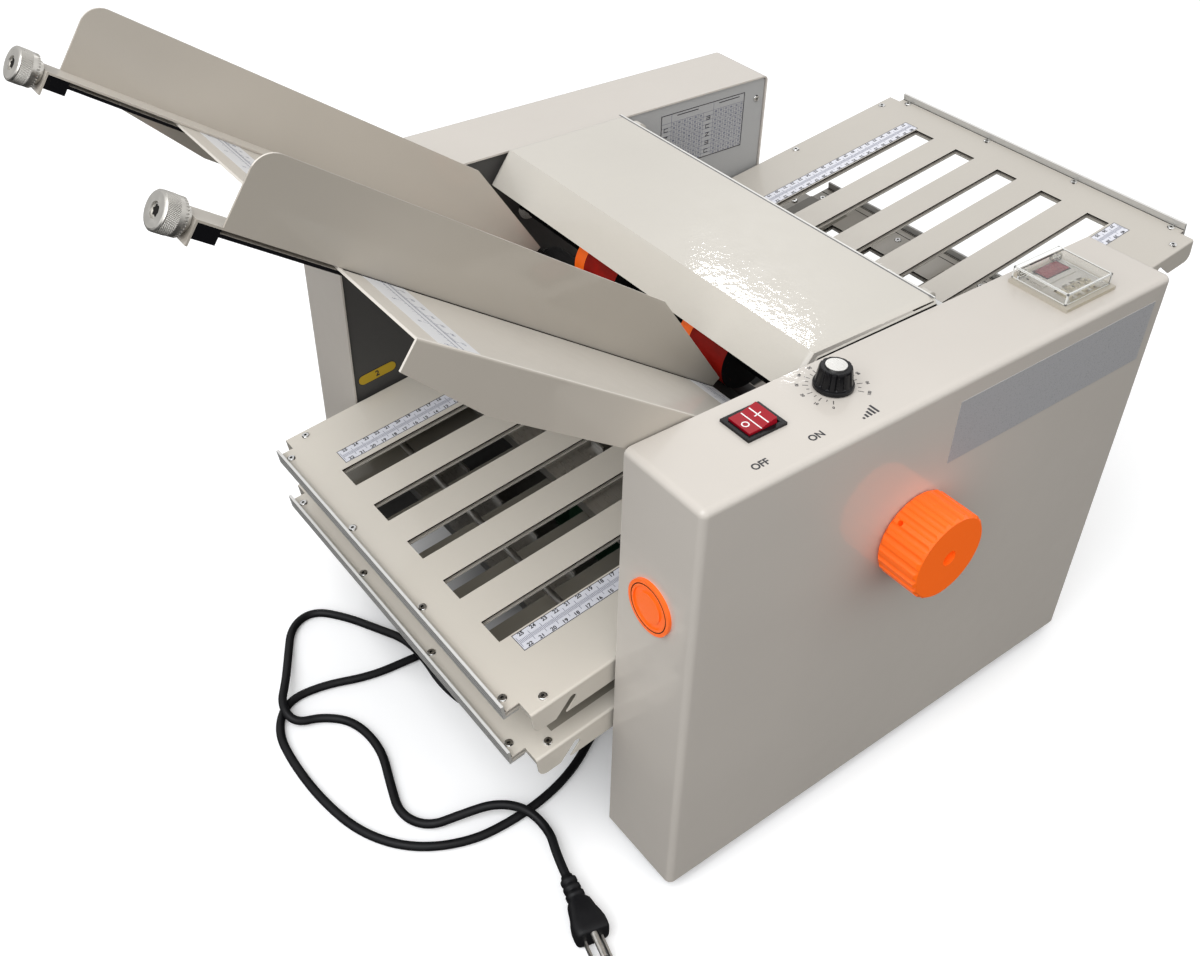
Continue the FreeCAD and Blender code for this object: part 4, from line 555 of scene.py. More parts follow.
def slab_points(place, high, u, v, length, width, angle=0):
    turn = Matrix.Rotation(math.radians(angle), 4, "Z")
    flat = [turn @ Vector((a * length / 2, b * width / 2, 0)) + Vector((u, v, 0)) for a, b in CORNERS]
    return [place @ (point + Vector((0, 0, level))) for level in (0, high) for point in flat]


SLAB_FACES = ((3, 2, 1, 0), (4, 5, 6, 7), (0, 1, 5, 4), (1, 2, 6, 5), (2, 3, 7, 6), (3, 0, 4, 7))


# Each entry is a place along and across, a length, a width and, where it is turned, its angle
def slabs(name, place, entries, material, body="root", high=INK_HEIGHT):
    points = []
    faces = []
    for entry in entries:
        first = len(points)
        points += slab_points(place, high, *entry)
        faces += [tuple(first + index for index in face) for face in SLAB_FACES]
    return piece(name, points, faces, material, body)


def outline_bars(u, v, length, width, edge):
    bars = [(u, v + side * (width - edge) / 2, length, edge) for side in (-1, 1)]
    return bars + [(u + side * (length - edge) / 2, v, edge, width) for side in (-1, 1)]


GLYPH_WEIGHT = 0.028


def glyph(text, size, thickness):
    curve = bpy.data.curves.new("glyph", "FONT")
    curve.body = text
    curve.size = size
    curve.align_x = "CENTER"
    curve.align_y = "CENTER"
    curve.extrude = thickness / 2
    curve.offset = size * GLYPH_WEIGHT
    curve.resolution_u = 3
    holder = bpy.data.objects.new("glyph", curve)
    mesh = bpy.data.meshes.new_from_object(holder)
    points = [vertex.co.copy() for vertex in mesh.vertices]
    faces = [tuple(face.vertices) for face in mesh.polygons]
    bpy.data.objects.remove(holder)
    bpy.data.curves.remove(curve)
    bpy.data.meshes.remove(mesh)
    return points, faces


# Each entry is a text, its place along and across, and its angle
def figures(name, place, entries, size, material, body="root"):
    known = {}
    points = []
    faces = []
    for text, u, v, angle in entries:
        if text not in known:
            known[text] = glyph(text, size, INK_HEIGHT)
        shape_points, shape_faces = known[text]
        middle = place @ Matrix.Translation((u, v, INK_HEIGHT / 2))
        turn = middle @ Matrix.Rotation(math.radians(angle), 4, "Z")
        first = len(points)
        points += [turn @ point for point in shape_points]
        faces += [tuple(first + index for index in face) for face in shape_faces]
    return piece(name, points, faces, material, body)


def loft(rings, closed_ends=True):
    points = [point for ring in rings for point in ring]
    size = len(rings[0])
    faces = []
    for row in range(len(rings) - 1):
        for index in range(size):
            after = (index + 1) % size
            low = row * size
            faces.append((low + index, low + after, low + size + after, low + size + index))
    if closed_ends:
        faces.append(tuple(reversed(range(size))))
        faces.append(tuple(range(len(points) - size, len(points))))
    return points, faces


def polar(radius, angle):
    return radius * math.cos(angle), radius * math.sin(angle)


def circle(place, radius, level, steps):
    angles = [2 * math.pi * index / steps for index in range(steps)]
    return [place @ Vector((*polar(radius, angle), level)) for angle in angles]


BAND_STEPS = 48


def band(name, place, inner, outer, material, body="root", high=INK_HEIGHT):
    rings = [
        circle(place, radius, level, BAND_STEPS)
        for radius, level in ((inner, 0), (outer, 0), (outer, high), (inner, high), (inner, 0))
    ]
    return piece(name, *loft(rings, closed_ends=False), material, body)


def on_node(node, start, direction):
    hit, point, normal, _ = frame["nodes"][node].ray_cast(Vector(start), Vector(direction))
    return (point, normal) if hit else None


# Printed rulers on the fold trays
RULER_WIDTH = 0.0165
RULER_PITCH = 0.01
RULER_FIRST = 0.0065
RULER_EDGE = 0.0005
FIGURE_SIZE = 0.0044
TICK_WIDTH = 0.00032
TICK_LENGTH = 0.0036
TICK_LONG = 0.0095
TICKS_PER_FIGURE = 10
ROW_OFFSET = 0.0058

# Each ruler's start, side, level and direction, then its length and the first figures of its rows
RULERS = {
    "near_front_ruler": ((0.009, -0.12405, 0, 1), 0.20, (25, 22)),
    "far_front_ruler": ((0.0066, 0.1275, 0, 1), 0.20, (25, 22)),
    "far_rear_ruler": ((0.661, 0.1235, REAR_TRAY_LEVEL, -1), 0.36, (40, 37)),
    "near_rear_ruler": ((0.661, -0.1248, REAR_TRAY_LEVEL, -1), 0.36, (40, 37)),
}


def ruler(name, place, length, first_figures):
    slabs(f"{name}_film", place, [(length / 2, 0, length, RULER_WIDTH)], "ruler", high=LABEL_HEIGHT)
    raised = lifted(place, LABEL_HEIGHT)
    edges = outline_bars(length / 2, 0, length, RULER_WIDTH, RULER_EDGE)
    slabs(f"{name}_outline", raised, edges, "ink")
    count = int((length - RULER_FIRST) / RULER_PITCH) + 1
    ticks = []
    for index in range(int(length / RULER_PITCH * TICKS_PER_FIGURE) - 1):
        tick = RULER_FIRST + (index / TICKS_PER_FIGURE - 0.5) * RULER_PITCH
        if tick > 2 * RULER_EDGE:
            full = TICK_LENGTH if index % TICKS_PER_FIGURE else TICK_LONG
            ticks.append((tick, 0, TICK_WIDTH, full))
    slabs(f"{name}_ticks", raised, ticks, "slate_ink")
    entries = []
    for side, number in zip((1, -1), first_figures):
        for index in range(count):
            along = RULER_FIRST + index * RULER_PITCH
            entries.append((str(number - index), along, side * ROW_OFFSET, 0))
    figures(f"{name}_figures", raised, entries, FIGURE_SIZE, "ink")


def tray_place(start, y, level, outward):
    origin = TRAY_ORIGIN + start * TRAY_ALONG + level * TRAY_UP + y * ACROSS
    return plane(origin, TRAY_ALONG * outward, ACROSS * outward)


def make_rulers():
    for name, (start, length, first_figures) in RULERS.items():
        ruler(name, tray_place(*start), length, first_figures)


# Scale strips across the feed table, centimetres on one side and inches on the other
STRIP_STARTS = (0.014, 0.2985)
STRIP_WIDTH = 0.0285
STRIP_MARGIN = 0.0015
STRIP_HEIGHT = 0.00006
STRIP_LINES = (0.0128, 0.0168)
STRIP_LINE_WIDTH = 0.0006
STRIP_FIGURE_GAPS = (0.0066, 0.0062)
STRIP_FIGURE = 0.0034
CENTIMETRE = 0.01
CENTIMETRES = 17
CENTIMETRE_TICKS = (0.004, 0.002)
INCH = 0.0254
INCHES = 7
INCH_PARTS = 8
INCH_TICKS = (0.0045, 0.003, 0.0018)


def centimetre_ticks():
    whole, part_length = CENTIMETRE_TICKS
    lines = []
    for index in range(-CENTIMETRES, CENTIMETRES + 1):
        side = index * CENTIMETRE
        lines.append((STRIP_LINES[1] + whole / 2, side, whole, TICK_WIDTH))
        for part in range(1, 10):
            y = side + part * CENTIMETRE / 10
            lines.append((STRIP_LINES[1] + part_length / 2, y, part_length, TICK_WIDTH / 2))
    return lines


def inch_ticks():
    whole, half, part_length = INCH_TICKS
    lines = []
    for index in range(-INCHES * INCH_PARTS, INCHES * INCH_PARTS + 1):
        size = part_length if index % (INCH_PARTS // 2) else half
        size = size if index % INCH_PARTS else whole
        lines.append((STRIP_LINES[0] - size / 2, index * INCH / INCH_PARTS, size, TICK_WIDTH / 2))
    return lines


def strip_figures(line, count, step):
    return [(str(abs(index)), line, index * step, -90) for index in range(-count, count + 1)]


def make_table_strips():
    half = TABLE_HALF_WIDTH - STRIP_MARGIN
    inch_gap, centimetre_gap = STRIP_FIGURE_GAPS
    for number, start in enumerate(STRIP_STARTS):
        place = plane(TABLE_ORIGIN + start * TABLE_ALONG, TABLE_ALONG, ACROSS)
        name = f"table_strip_{number + 1}"
        film = [(STRIP_WIDTH / 2, 0, STRIP_WIDTH, 2 * half)]
        slabs(f"{name}_film", place, film, "strip", high=STRIP_HEIGHT)
        raised = lifted(place, STRIP_HEIGHT - INK_HEIGHT / 2)
        lines = [(line, 0, STRIP_LINE_WIDTH, 2 * half) for line in STRIP_LINES]
        slabs(f"{name}_lines", raised, lines + centimetre_ticks() + inch_ticks(), "slate_ink")
        entries = strip_figures(STRIP_LINES[1] + centimetre_gap, CENTIMETRES, CENTIMETRE)
        entries += strip_figures(STRIP_LINES[0] - inch_gap, INCHES, INCH)
        figures(f"{name}_figures", raised, entries, STRIP_FIGURE, "slate_ink")


# Controls on the near housing's top
TOP_Z = 0.372
KNOB_PLACE = (-0.079, -0.2083)
DIAL_START = -134.0
DIAL_STEP = -28.0
DIAL_MARKS = 21
DIAL_VALUE = 5
DIAL_TICKS = (0.0158, 0.0196)
DIAL_SHORT_SHARE = 0.55
DIAL_TICK_WIDTH = 0.0005
DIAL_FIGURE_RADIUS = 0.0232
DIAL_FIGURE = 0.0031


def make_dial():
    place = top_plane(*KNOB_PLACE, TOP_Z)
    entries = []
    ticks = []
    for index in range(DIAL_MARKS):
        angle = DIAL_START + DIAL_STEP * index / 2
        turn = math.radians(angle)
        inner, outer = DIAL_TICKS
        if index % 2:
            outer = inner + (outer - inner) * DIAL_SHORT_SHARE
        else:
            figure = polar(DIAL_FIGURE_RADIUS, turn)
            entries.append((str(index * DIAL_VALUE), *figure, angle + 90))
        tick = polar((inner + outer) / 2, turn)
        ticks.append((*tick, outer - inner, DIAL_TICK_WIDTH, angle))
    slabs("dial_ticks", place, ticks, "ink")
    figures("dial_figures", place, entries, DIAL_FIGURE, "ink")


# Fluted grip of the speed knob, as level, radius and share of the flutes' depth
KNOB_FLUTES = 14
KNOB_STEPS = 8
KNOB_FLUTE_DEPTH = 0.0011
KNOB_FLUTE_POWER = 1.3
KNOB_PROFILE = (
    (0.3600, 0.0030, 0), (0.3723, 0.0030, 0), (0.3723, 0.0128, 0), (0.3727, 0.0135, 0),
    (0.3748, 0.0135, 0), (0.3757, 0.0131, 0), (0.3759, 0.0124, 0.3), (0.3766, 0.0123, 1),
    (0.3863, 0.01075, 1), (0.3874, 0.0104, 0.5), (0.3877, 0.0097, 0),
)


def make_knob():
    steps = KNOB_FLUTES * KNOB_STEPS
    rings = []
    for level, radius, share in KNOB_PROFILE:
        ring = []
        for index in range(steps):
            angle = 2 * math.pi * index / steps
            scallop = max(0.0, math.cos(KNOB_FLUTES * angle)) ** KNOB_FLUTE_POWER
            reach = radius - share * KNOB_FLUTE_DEPTH * scallop
            x, y = polar(reach, angle)
            ring.append(Vector((KNOB_PLACE[0] + x, KNOB_PLACE[1] + y, level)))
        rings.append(ring)
    grip = piece("knob_grip", *loft(rings), "black", "speed_dial")
    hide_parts("speed_knob")


# Words and rising bars printed beside the controls
SWITCH_WORDS = (("OFF", -0.1694, -0.2395, 0), ("ON", -0.1237, -0.2392, 0))
WORD_SIZE = 0.0074
SPEED_MARK = (-0.0872, -0.2432)
SPEED_BARS = 5
SPEED_STEP = 0.0031
SPEED_BAR = 0.0017
SPEED_RISE = 0.0016


def make_switch_words():
    place = top_plane(0, 0, TOP_Z)
    figures("switch_words", place, SWITCH_WORDS, WORD_SIZE, "ink")
    x, y = SPEED_MARK
    bars = []
    for step in range(SPEED_BARS):
        rise = SPEED_RISE * step
        bars.append((x + SPEED_STEP * step, y + rise / 2, SPEED_BAR, SPEED_BAR + rise))
    slabs("speed_mark", place, bars, "ink")


# Marks on the rocker: the ring's place and radii, then each bar's place, width and length
ROCKER_RING = (-0.1543, -0.2090, 0.0018, 0.0026)
ROCKER_BARS = {
    "switch_ridge_line": (-0.1491, -0.2085, 0.0185, 0.0008),
    "switch_line": (-0.1428, -0.2080, 0.0175, 0.0008),
    "switch_crossbar": (-0.1427, -0.2070, 0.0008, 0.0052),
}
ROCKER_MARK_HEIGHT = 0.00012
RAY_LIFT = 0.03


def rocker_place(x, y):
    point, normal = on_node("switch_rocker", (x, y, TOP_Z + RAY_LIFT), (0, 0, -1))
    return plane(point, ACROSS.cross(normal), ACROSS)


def make_switch_marks():
    x, y, inner, outer = ROCKER_RING
    band("switch_ring", rocker_place(x, y), inner, outer, "white_ink", "rocker", ROCKER_MARK_HEIGHT)
    for name, (x, y, width, length) in ROCKER_BARS.items():
        bar = [(0, 0, length, width)]
        slabs(name, rocker_place(x, y), bar, "white_ink", "rocker", high=ROCKER_MARK_HEIGHT)


# Counter face under its clear lid
COUNTER_FACE = 0.376
WINDOW = (0.1485, -0.2015, 0.0256, 0.0124)
WINDOW_RIM = (0.002, 0.0018)
WINDOW_RIM_HEIGHT = 0.0002
WINDOW_HEIGHT = 0.0004
COUNTER_DIGITS = 4
DIGIT_PITCH = 0.0056
DIGIT_SIZE = 0.0085
COUNTER_RIM = 0.375
COUNTER_SIDE_MARK = (0.1266, -0.2038, 0.0016, 0.0125)
WHEEL_FIELD_OFFSET = 0.0022
WHEEL_FIELD_MARGIN = 0.002
WHEEL_FIELD_WIDTH = 0.003
WHEEL_FIELD_HEIGHT = 0.0003
WHEEL_VALUES = (1, 4, 7, 0)
WHEEL_FIGURE = 0.0036


def make_counter_face():
    place = top_plane(0, 0, COUNTER_FACE)
    u, v, length, width = WINDOW
    rim = [(u, v, length + WINDOW_RIM[0], width + WINDOW_RIM[1])]
    slabs("counter_window_frame", place, rim, "black", high=WINDOW_RIM_HEIGHT)
    slabs("counter_window", place, [(u, v, length, width)], "window", high=WINDOW_HEIGHT)
    middle = (COUNTER_DIGITS - 1) / 2
    digits = [("0", u + (index - middle) * DIGIT_PITCH, v, 0) for index in range(COUNTER_DIGITS)]
    raised = lifted(place, WINDOW_HEIGHT)
    figures("counter_digits", raised, digits, DIGIT_SIZE, "digit")
    slabs("counter_side_mark", top_plane(0, 0, COUNTER_RIM), [COUNTER_SIDE_MARK], "ink")


def make_counter_wheels():
    low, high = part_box("counter_wheels")
    length = high.x - low.x
    middle = (low + high) / 2
    reach = length + 2 * WHEEL_FIELD_MARGIN
    field = [(middle.x, low.y - WHEEL_FIELD_OFFSET, reach, WHEEL_FIELD_WIDTH)]
    rim = top_plane(0, 0, COUNTER_RIM)
    slabs("counter_wheel_field", rim, field, "cream", high=WHEEL_FIELD_HEIGHT)
    entries = []
    for index, value in enumerate(WHEEL_VALUES):
        x = low.x + length * (index + 0.5) / len(WHEEL_VALUES)
        entries.append((str(value), x, middle.y, 0))
    top = top_plane(0, 0, high.z)
    figures("counter_wheel_figures", top, entries, WHEEL_FIGURE, "ink", "thumb_wheels")


LID_EDGE = 0.0012
LID_RAIL_SHARE = 0.8


# Pale bars on the clear lid's edges, a painted highlight where the clear plastic catches the light
def make_lid_edges():
    low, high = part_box("counter_cover")
    middle = (low + high) / 2
    length, width, tall = high - low
    bars = outline_bars(0, 0, length, width, LID_EDGE)
    top = top_plane(middle.x, middle.y, high.z)
    slabs("lid_top_edges", top, bars, "lid_edge_highlight", "counter_lid", high=TRIM_HEIGHT)
    for side, face, reach in (
        ("near", near_plane(middle.x, low.y, low.z), length),
        ("front", plane((low.x, middle.y, low.z), (0, -1, 0), (0, 0, 1)), width),
    ):
        posts = [(sign * (reach - LID_EDGE) / 2, tall / 2, LID_EDGE, tall) for sign in (-1, 1)]
        for level in (LID_EDGE / 2, tall - LID_EDGE / 2):
            posts.append((0, level, reach, LID_EDGE * LID_RAIL_SHARE))
        slabs(f"lid_{side}_edges", face, posts, "lid_edge_highlight", "counter_lid", high=TRIM_HEIGHT)


RIB_PITCH = 0.0013
RIB_WIDTH = 0.0006
RIB_FOOT = 0.0006
RIB_HEIGHT = 0.0022


def make_counter_ribs():
    low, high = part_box("counter_case")
    level = TOP_Z + RIB_FOOT + RIB_HEIGHT / 2
    ribs = []
    for index in range(int((high.x - low.x) / RIB_PITCH) - 2):
        ribs.append((low.x + (index + 1.5) * RIB_PITCH, level, RIB_WIDTH, RIB_HEIGHT))
    slabs("counter_ribs", near_plane(0, low.y, 0), ribs, "khaki")


# Bare side label, chart and pill sticker
SIDE_Y = -0.254
SIDE_LABEL = (0.1035, 0.3295, 0.215, 0.051)
SIDE_LABEL_HEIGHT = 0.0003


def make_side_label():
    slabs("side_label", near_plane(0, SIDE_Y, 0), [SIDE_LABEL], "silver", high=SIDE_LABEL_HEIGHT)


FAR_INNER_Y = 0.1835
CHART = (0.0987, 0.1985, 0.308, 0.361)
CHART_EDGE = 0.0008
CHART_HALVES = 2
CHART_ROWS = 11
CHART_COLUMNS = 6
CHART_HEAD = 0.0085
CHART_FOLD_COLUMN = 0.012
CHART_FOLD_LINE = 0.0003
CHART_LINE = 0.00025
CHART_FIGURE = 0.0026
CHART_TITLE_SHARES = (0.62, 0.35, 0.5)
CHART_TITLE_WIDTH = 0.0009
FOLD_GAP = 0.0016
FOLD_LENGTH = 0.0045
FOLD_WIDTH = 0.0007
FOLD_SLANT = (0.0052, 38)
FOLD_END = (0.0022, 0.0036)


def fold_mark(u, v, kind):
    bars = [(u, v + sign * FOLD_GAP, FOLD_LENGTH, FOLD_WIDTH) for sign in (1, -1)]
    length, slant = FOLD_SLANT
    offset, height = FOLD_END
    if kind % 3 == 0:
        bars.append((u, v, length, FOLD_WIDTH, slant))
    elif kind % 3 == 1:
        bars.append((u - offset, v, height, FOLD_WIDTH, 90))
    else:
        bars += [(u, v, FOLD_LENGTH, FOLD_WIDTH), (u + offset, v, height, FOLD_WIDTH, 90)]
    return bars


def chart_value(part, row, index):
    return str((part * 37 + row * 13 + index * 29) % 89 + 10)


def make_chart():
    place = near_plane(0, FAR_INNER_Y, 0)
    left, right, bottom, top = CHART
    length = right - left
    height = top - bottom
    middle = ((left + right) / 2, (bottom + top) / 2)
    slabs("chart_film", place, [(*middle, length, height)], "chart", high=LABEL_HEIGHT)
    raised = lifted(place, LABEL_HEIGHT)
    slabs("chart_outline", raised, outline_bars(*middle, length, height, CHART_EDGE), "ink")
    grid = []
    marks = []
    entries = []
    half = length / CHART_HALVES
    row_height = (height - CHART_HEAD) / CHART_ROWS
    column = (half - CHART_FOLD_COLUMN) / CHART_COLUMNS
    for part in range(CHART_HALVES):
        start = left + part * half
        first = start + CHART_FOLD_COLUMN
        grid.append((first, middle[1], CHART_FOLD_LINE, height))
        for index in range(1, CHART_COLUMNS + 1):
            x = first + index * column
            grid.append((x, middle[1] - CHART_HEAD / 2, CHART_LINE, height - CHART_HEAD))
        for row in range(CHART_ROWS):
            z = bottom + (row + 1) * row_height
            grid.append((start + half / 2, z, half, CHART_LINE))
            for index in range(CHART_COLUMNS):
                x = first + (index + 0.5) * column
                entries.append((chart_value(part, row, index), x, z - row_height / 2, 0))
        for row in range(CHART_ROWS // 2):
            z = bottom + (2 * row + 1.5) * row_height
            marks += fold_mark(start + CHART_FOLD_COLUMN / 2, z, row + part)
        along, down, share = CHART_TITLE_SHARES
        title = (start + half * along, top - CHART_HEAD * down)
        marks.append((*title, half * share, CHART_TITLE_WIDTH))
    slabs("chart_grid", raised, grid, "slate_ink")
    slabs("chart_fold_marks", raised, marks, "ink")
    figures("chart_figures", raised, entries, CHART_FIGURE, "slate_ink")


# Pill sticker, with each layer's margin, bottom, top and paint
PILL_PLACE = (-0.2015, 0.204)
PILL_SIZE = (0.037, 0.0105)
PILL_TILT = 8.26
PILL_STEPS = 12
PILL_LAYERS = {
    "pill_edge": (0.0, 0.0, 0.00015, "ink"),
    "pill_label": (0.0007, 0.00015, 0.0003, "yellow"),
}
PILL_TOP = 0.0003
PILL_FIGURE = 0.0075


def make_pill():
    place = near_plane(PILL_PLACE[0], FAR_INNER_Y, PILL_PLACE[1])
    place = place @ Matrix.Rotation(math.radians(PILL_TILT), 4, "Z")
    length, width = PILL_SIZE
    for name, (margin, low, high, material) in PILL_LAYERS.items():
        radius = width / 2 - margin
        outline = []
        for side in (1, -1):
            for step in range(PILL_STEPS + 1):
                angle = math.pi * step / PILL_STEPS - math.pi / 2
                u = length / 2 - width / 2 + radius * math.cos(angle)
                outline.append((side * u, side * radius * math.sin(angle)))
        rings = [[place @ Vector((u, v, level)) for u, v in outline] for level in (low, high)]
        piece(name, *loft(rings), material)
    raised = lifted(place, PILL_TOP)
    figures("pill_figure", raised, [("2", 0, 0, 0)], PILL_FIGURE, "ink")


# Painted highlight on the edges of the trays' end channels and painted shade in their grooves and seams, as
# end, side and level
CHANNELS = (
    (0.6958, 1, REAR_TRAY_LEVEL), (-0.0315, -1, 0.0),
    (0.5908, 1, LOW_REAR_LEVEL), (-0.035, -1, LOW_FRONT_LEVEL),
)
CHANNEL_LENGTH = 0.33
CHANNEL_WALL = 0.0022
CHANNEL_WALL_SHARE = 0.9
CHANNEL_LIP = 0.006
CHANNEL_GROOVES = (0.0042, 0.0006, -0.0032)
GROOVE_WIDTH = 0.0005
SEAM_WIDTH = 0.0008
INNER_LINES = (0.0042, 0.0115)
INNER_LINE_WIDTH = 0.0009


def make_channel_lines():
    for number, (end, outward, level) in enumerate(CHANNELS):
        name = f"channel_{number + 1}"
        corner = TRAY_ORIGIN + end * TRAY_ALONG + level * TRAY_UP
        face = plane(corner, ACROSS * outward, TRAY_UP)
        grooves = [(0, height, CHANNEL_LENGTH, GROOVE_WIDTH) for height in CHANNEL_GROOVES]
        slabs(f"{name}_grooves", face, grooves, "shade_line")
        top = tray_place(end, 0, level + CHANNEL_LIP, outward)
        edge = [(-CHANNEL_WALL / 2, 0, CHANNEL_WALL * CHANNEL_WALL_SHARE, CHANNEL_LENGTH)]
        slabs(f"{name}_edge", top, edge, "painted_highlight")
        lines = [(-CHANNEL_WALL - SEAM_WIDTH / 2, 0, SEAM_WIDTH, CHANNEL_LENGTH)]
        if level == LOW_REAR_LEVEL:
            lines += [(-inset, 0, INNER_LINE_WIDTH, CHANNEL_LENGTH) for inset in INNER_LINES]
        slabs(f"{name}_seam_shadow", tray_place(end, 0, level, outward), lines, "shadow")


# Painted shade on the strips of the two lower trays, under the trays above them, as tray number, level and
# the strips' start and end
LOW_TRAYS = ((1, LOW_FRONT_LEVEL, 0.0, 0.232), (3, LOW_REAR_LEVEL, 0.27, 0.566))
SLOT_PITCH = 0.0513
SLOT_WIDTH = 0.0233
MARGIN_STRIP = (0.1146, 0.166)


def make_tray_shade():
    inner, outer = MARGIN_STRIP
    width = SLOT_PITCH - SLOT_WIDTH
    for number, level, start, end in LOW_TRAYS:
        middle = (end - start) / 2
        length = end - start
        strips = [(middle, (index + 0.5) * SLOT_PITCH, length, width) for index in range(-2, 2)]
        for sign in (-1, 1):
            strips.append((middle, sign * (inner + outer) / 2, length, outer - inner))
        slabs(f"tray_shade_{number}", tray_place(start, 0, level, 1), strips, "low_tray")


# Painted shadow in the joint under the near guide and over the table's lower end, and a painted shadow line
# and a painted highlight line on the cover's rear edge
GUIDE_LINE = (0.002, 0.330, -0.1030, 0.0018)
TABLE_FOOT = (0.3275, 0.3615)
TABLE_FOOT_MARGIN = 0.001
COVER_LINES = {0.0474: "shade_line", 0.0490: "painted_highlight"}
COVER_LINE_WIDTH = 0.0012
COVER_LINE_LENGTH = 0.358


def make_joints():
    table = plane(TABLE_ORIGIN, TABLE_ALONG, ACROSS)
    start, end, side, width = GUIDE_LINE
    line = [((start + end) / 2, side, end - start, width)]
    slabs("guide_joint_shadow", table, line, "shadow", "near_slider")
    start, end = TABLE_FOOT
    foot = [((start + end) / 2, 0, end - start, 2 * (TABLE_HALF_WIDTH - TABLE_FOOT_MARGIN))]
    slabs("table_foot_shadow", table, foot, "shadow")
    for x, material in COVER_LINES.items():
        point, normal = on_node("top_cover", (x, 0, 1), (0, 0, -1))
        place = plane(point, ACROSS.cross(normal), ACROSS)
        line = [(0, 0, COVER_LINE_WIDTH, COVER_LINE_LENGTH)]
        slabs(f"cover_{material}_line", place, line, material, "cover")


# Painted shade in the ring moulded in the front cap, as shares of the cap's radius
CAP_RING_SHARES = (0.84, 0.875)


def make_cap_ring():
    low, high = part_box("front_cap")
    middle = (low + high) / 2
    place = plane((low.x, middle.y, middle.z), (0, -1, 0), (0, 0, 1))
    radius = (high.z - low.z) / 2
    inner, outer = (share * radius for share in CAP_RING_SHARES)
    band("cap_ring_shadow", place, inner, outer, "shadow", high=TRIM_HEIGHT)


# Knurled heads on the side guides' screws
HEAD_RADIUS = 0.01012
HEAD_PROUD = 0.001
HEAD_SOCKET = 0.0042
KNURLS = 56
KNURL_STEPS = 4
KNURL_PITCH = 0.0011
KNURL_DEPTH = 0.00022
KNURL_START = 0.0012
KNURL_END = 0.0078
HEAD_PROFILE = (
    (0.0, 0.0088), (0.0003, 0.0096), (0.0009, HEAD_RADIUS), (KNURL_START, HEAD_RADIUS),
)
HEAD_TAIL = ((0.0080, 0.01005), (0.0100, 0.0100), (0.0112, 0.0098), (0.0118, 0.0092))
SOCKET_RING_SHARES = (0.5, 0.95)
SOCKET_SINK = 0.00098
SOCKET_HEIGHT = 0.0002
SOCKET_STEPS = 48
SOCKET_LOBES = 6
SOCKET_LOBE_SHARES = (0.62, 0.12)


def knurled_ring(place, depth):
    steps = KNURLS * KNURL_STEPS
    ring = []
    for index in range(steps):
        turn = index / KNURL_STEPS
        lift = depth / KNURL_PITCH
        first = abs((turn + lift) % 1 - 0.5) * 2
        second = abs((turn - lift) % 1 - 0.5) * 2
        radius = HEAD_RADIUS - KNURL_DEPTH + 2 * KNURL_DEPTH * min(first, second)
        angle = 2 * math.pi * index / steps
        ring.append(place @ Vector((*polar(radius, angle), -depth)))
    return ring


def screw_place(side):
    joint = next(joint for joint in frame["joints"] if joint["name"] == f"{side}_screw_turn")
    out = -Vector(joint["axis"]).normalized()
    place = plane(joint["pos_m"], ACROSS, out.cross(ACROSS))
    back = place.inverted()
    mesh = frame["nodes"][f"{side}_guide_screw"].data
    outer = max((back @ vertex.co).z for vertex in mesh.vertices)
    return lifted(place, outer + HEAD_PROUD)


def make_screw_head(side, place):
    steps = KNURLS * KNURL_STEPS
    rings = [circle(place, HEAD_SOCKET * share, -SOCKET_SINK, steps) for share in SOCKET_RING_SHARES]
    rings.append(circle(place, HEAD_SOCKET, 0, steps))
    rings += [circle(place, radius, -depth, steps) for depth, radius in HEAD_PROFILE]
    depth = KNURL_START + KNURL_PITCH / KNURL_STEPS
    while depth < KNURL_END:
        rings.append(knurled_ring(place, depth))
        depth += KNURL_PITCH / KNURL_STEPS
    rings += [circle(place, radius, -depth, steps) for depth, radius in HEAD_TAIL]
    piece(f"{side}_thumb_head", *loft(rings), "nickel", f"{side}_screw")


# Lobed disc of painted shadow, standing for the shaded depth of the socket
def make_screw_socket(side, place):
    socket = lifted(place, -SOCKET_SINK)
    share, swing = SOCKET_LOBE_SHARES
    lobes = []
    for index in range(SOCKET_STEPS):
        angle = 2 * math.pi * index / SOCKET_STEPS
        lobe = share + swing * math.cos(SOCKET_LOBES * angle)
        lobes.append(polar(HEAD_SOCKET * lobe, angle))
    rings = [[socket @ Vector((u, v, level)) for u, v in lobes] for level in (0, SOCKET_HEIGHT)]
    piece(f"{side}_thumb_socket_shadow", *loft(rings), "shadow", f"{side}_screw")


def make_screw_heads():
    for side in ("near", "far"):
        place = screw_place(side)
        make_screw_head(side, place)
        make_screw_socket(side, place)


# Mains lead and plug
def make_cord():
    curve = bpy.data.curves.new("mains_lead", "CURVE")
    curve.dimensions = "3D"
    curve.bevel_depth = CORD_DIAMETER / 2
    curve.bevel_resolution = 5
    curve.use_fill_caps = True
    spline = curve.splines.new("NURBS")
    spline.points.add(len(CORD_ROUTE) - 1)
    for point, place in zip(spline.points, CORD_ROUTE):
        point.co = (*place, 1)
    spline.order_u = 3
    spline.use_endpoint_u = True
    spline.resolution_u = 8
    curve.materials.append(paint["cord_rubber"])
    lead = add_object("mains_lead", curve)
    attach(lead, "root")
    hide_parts("mains_cord")
    return lead


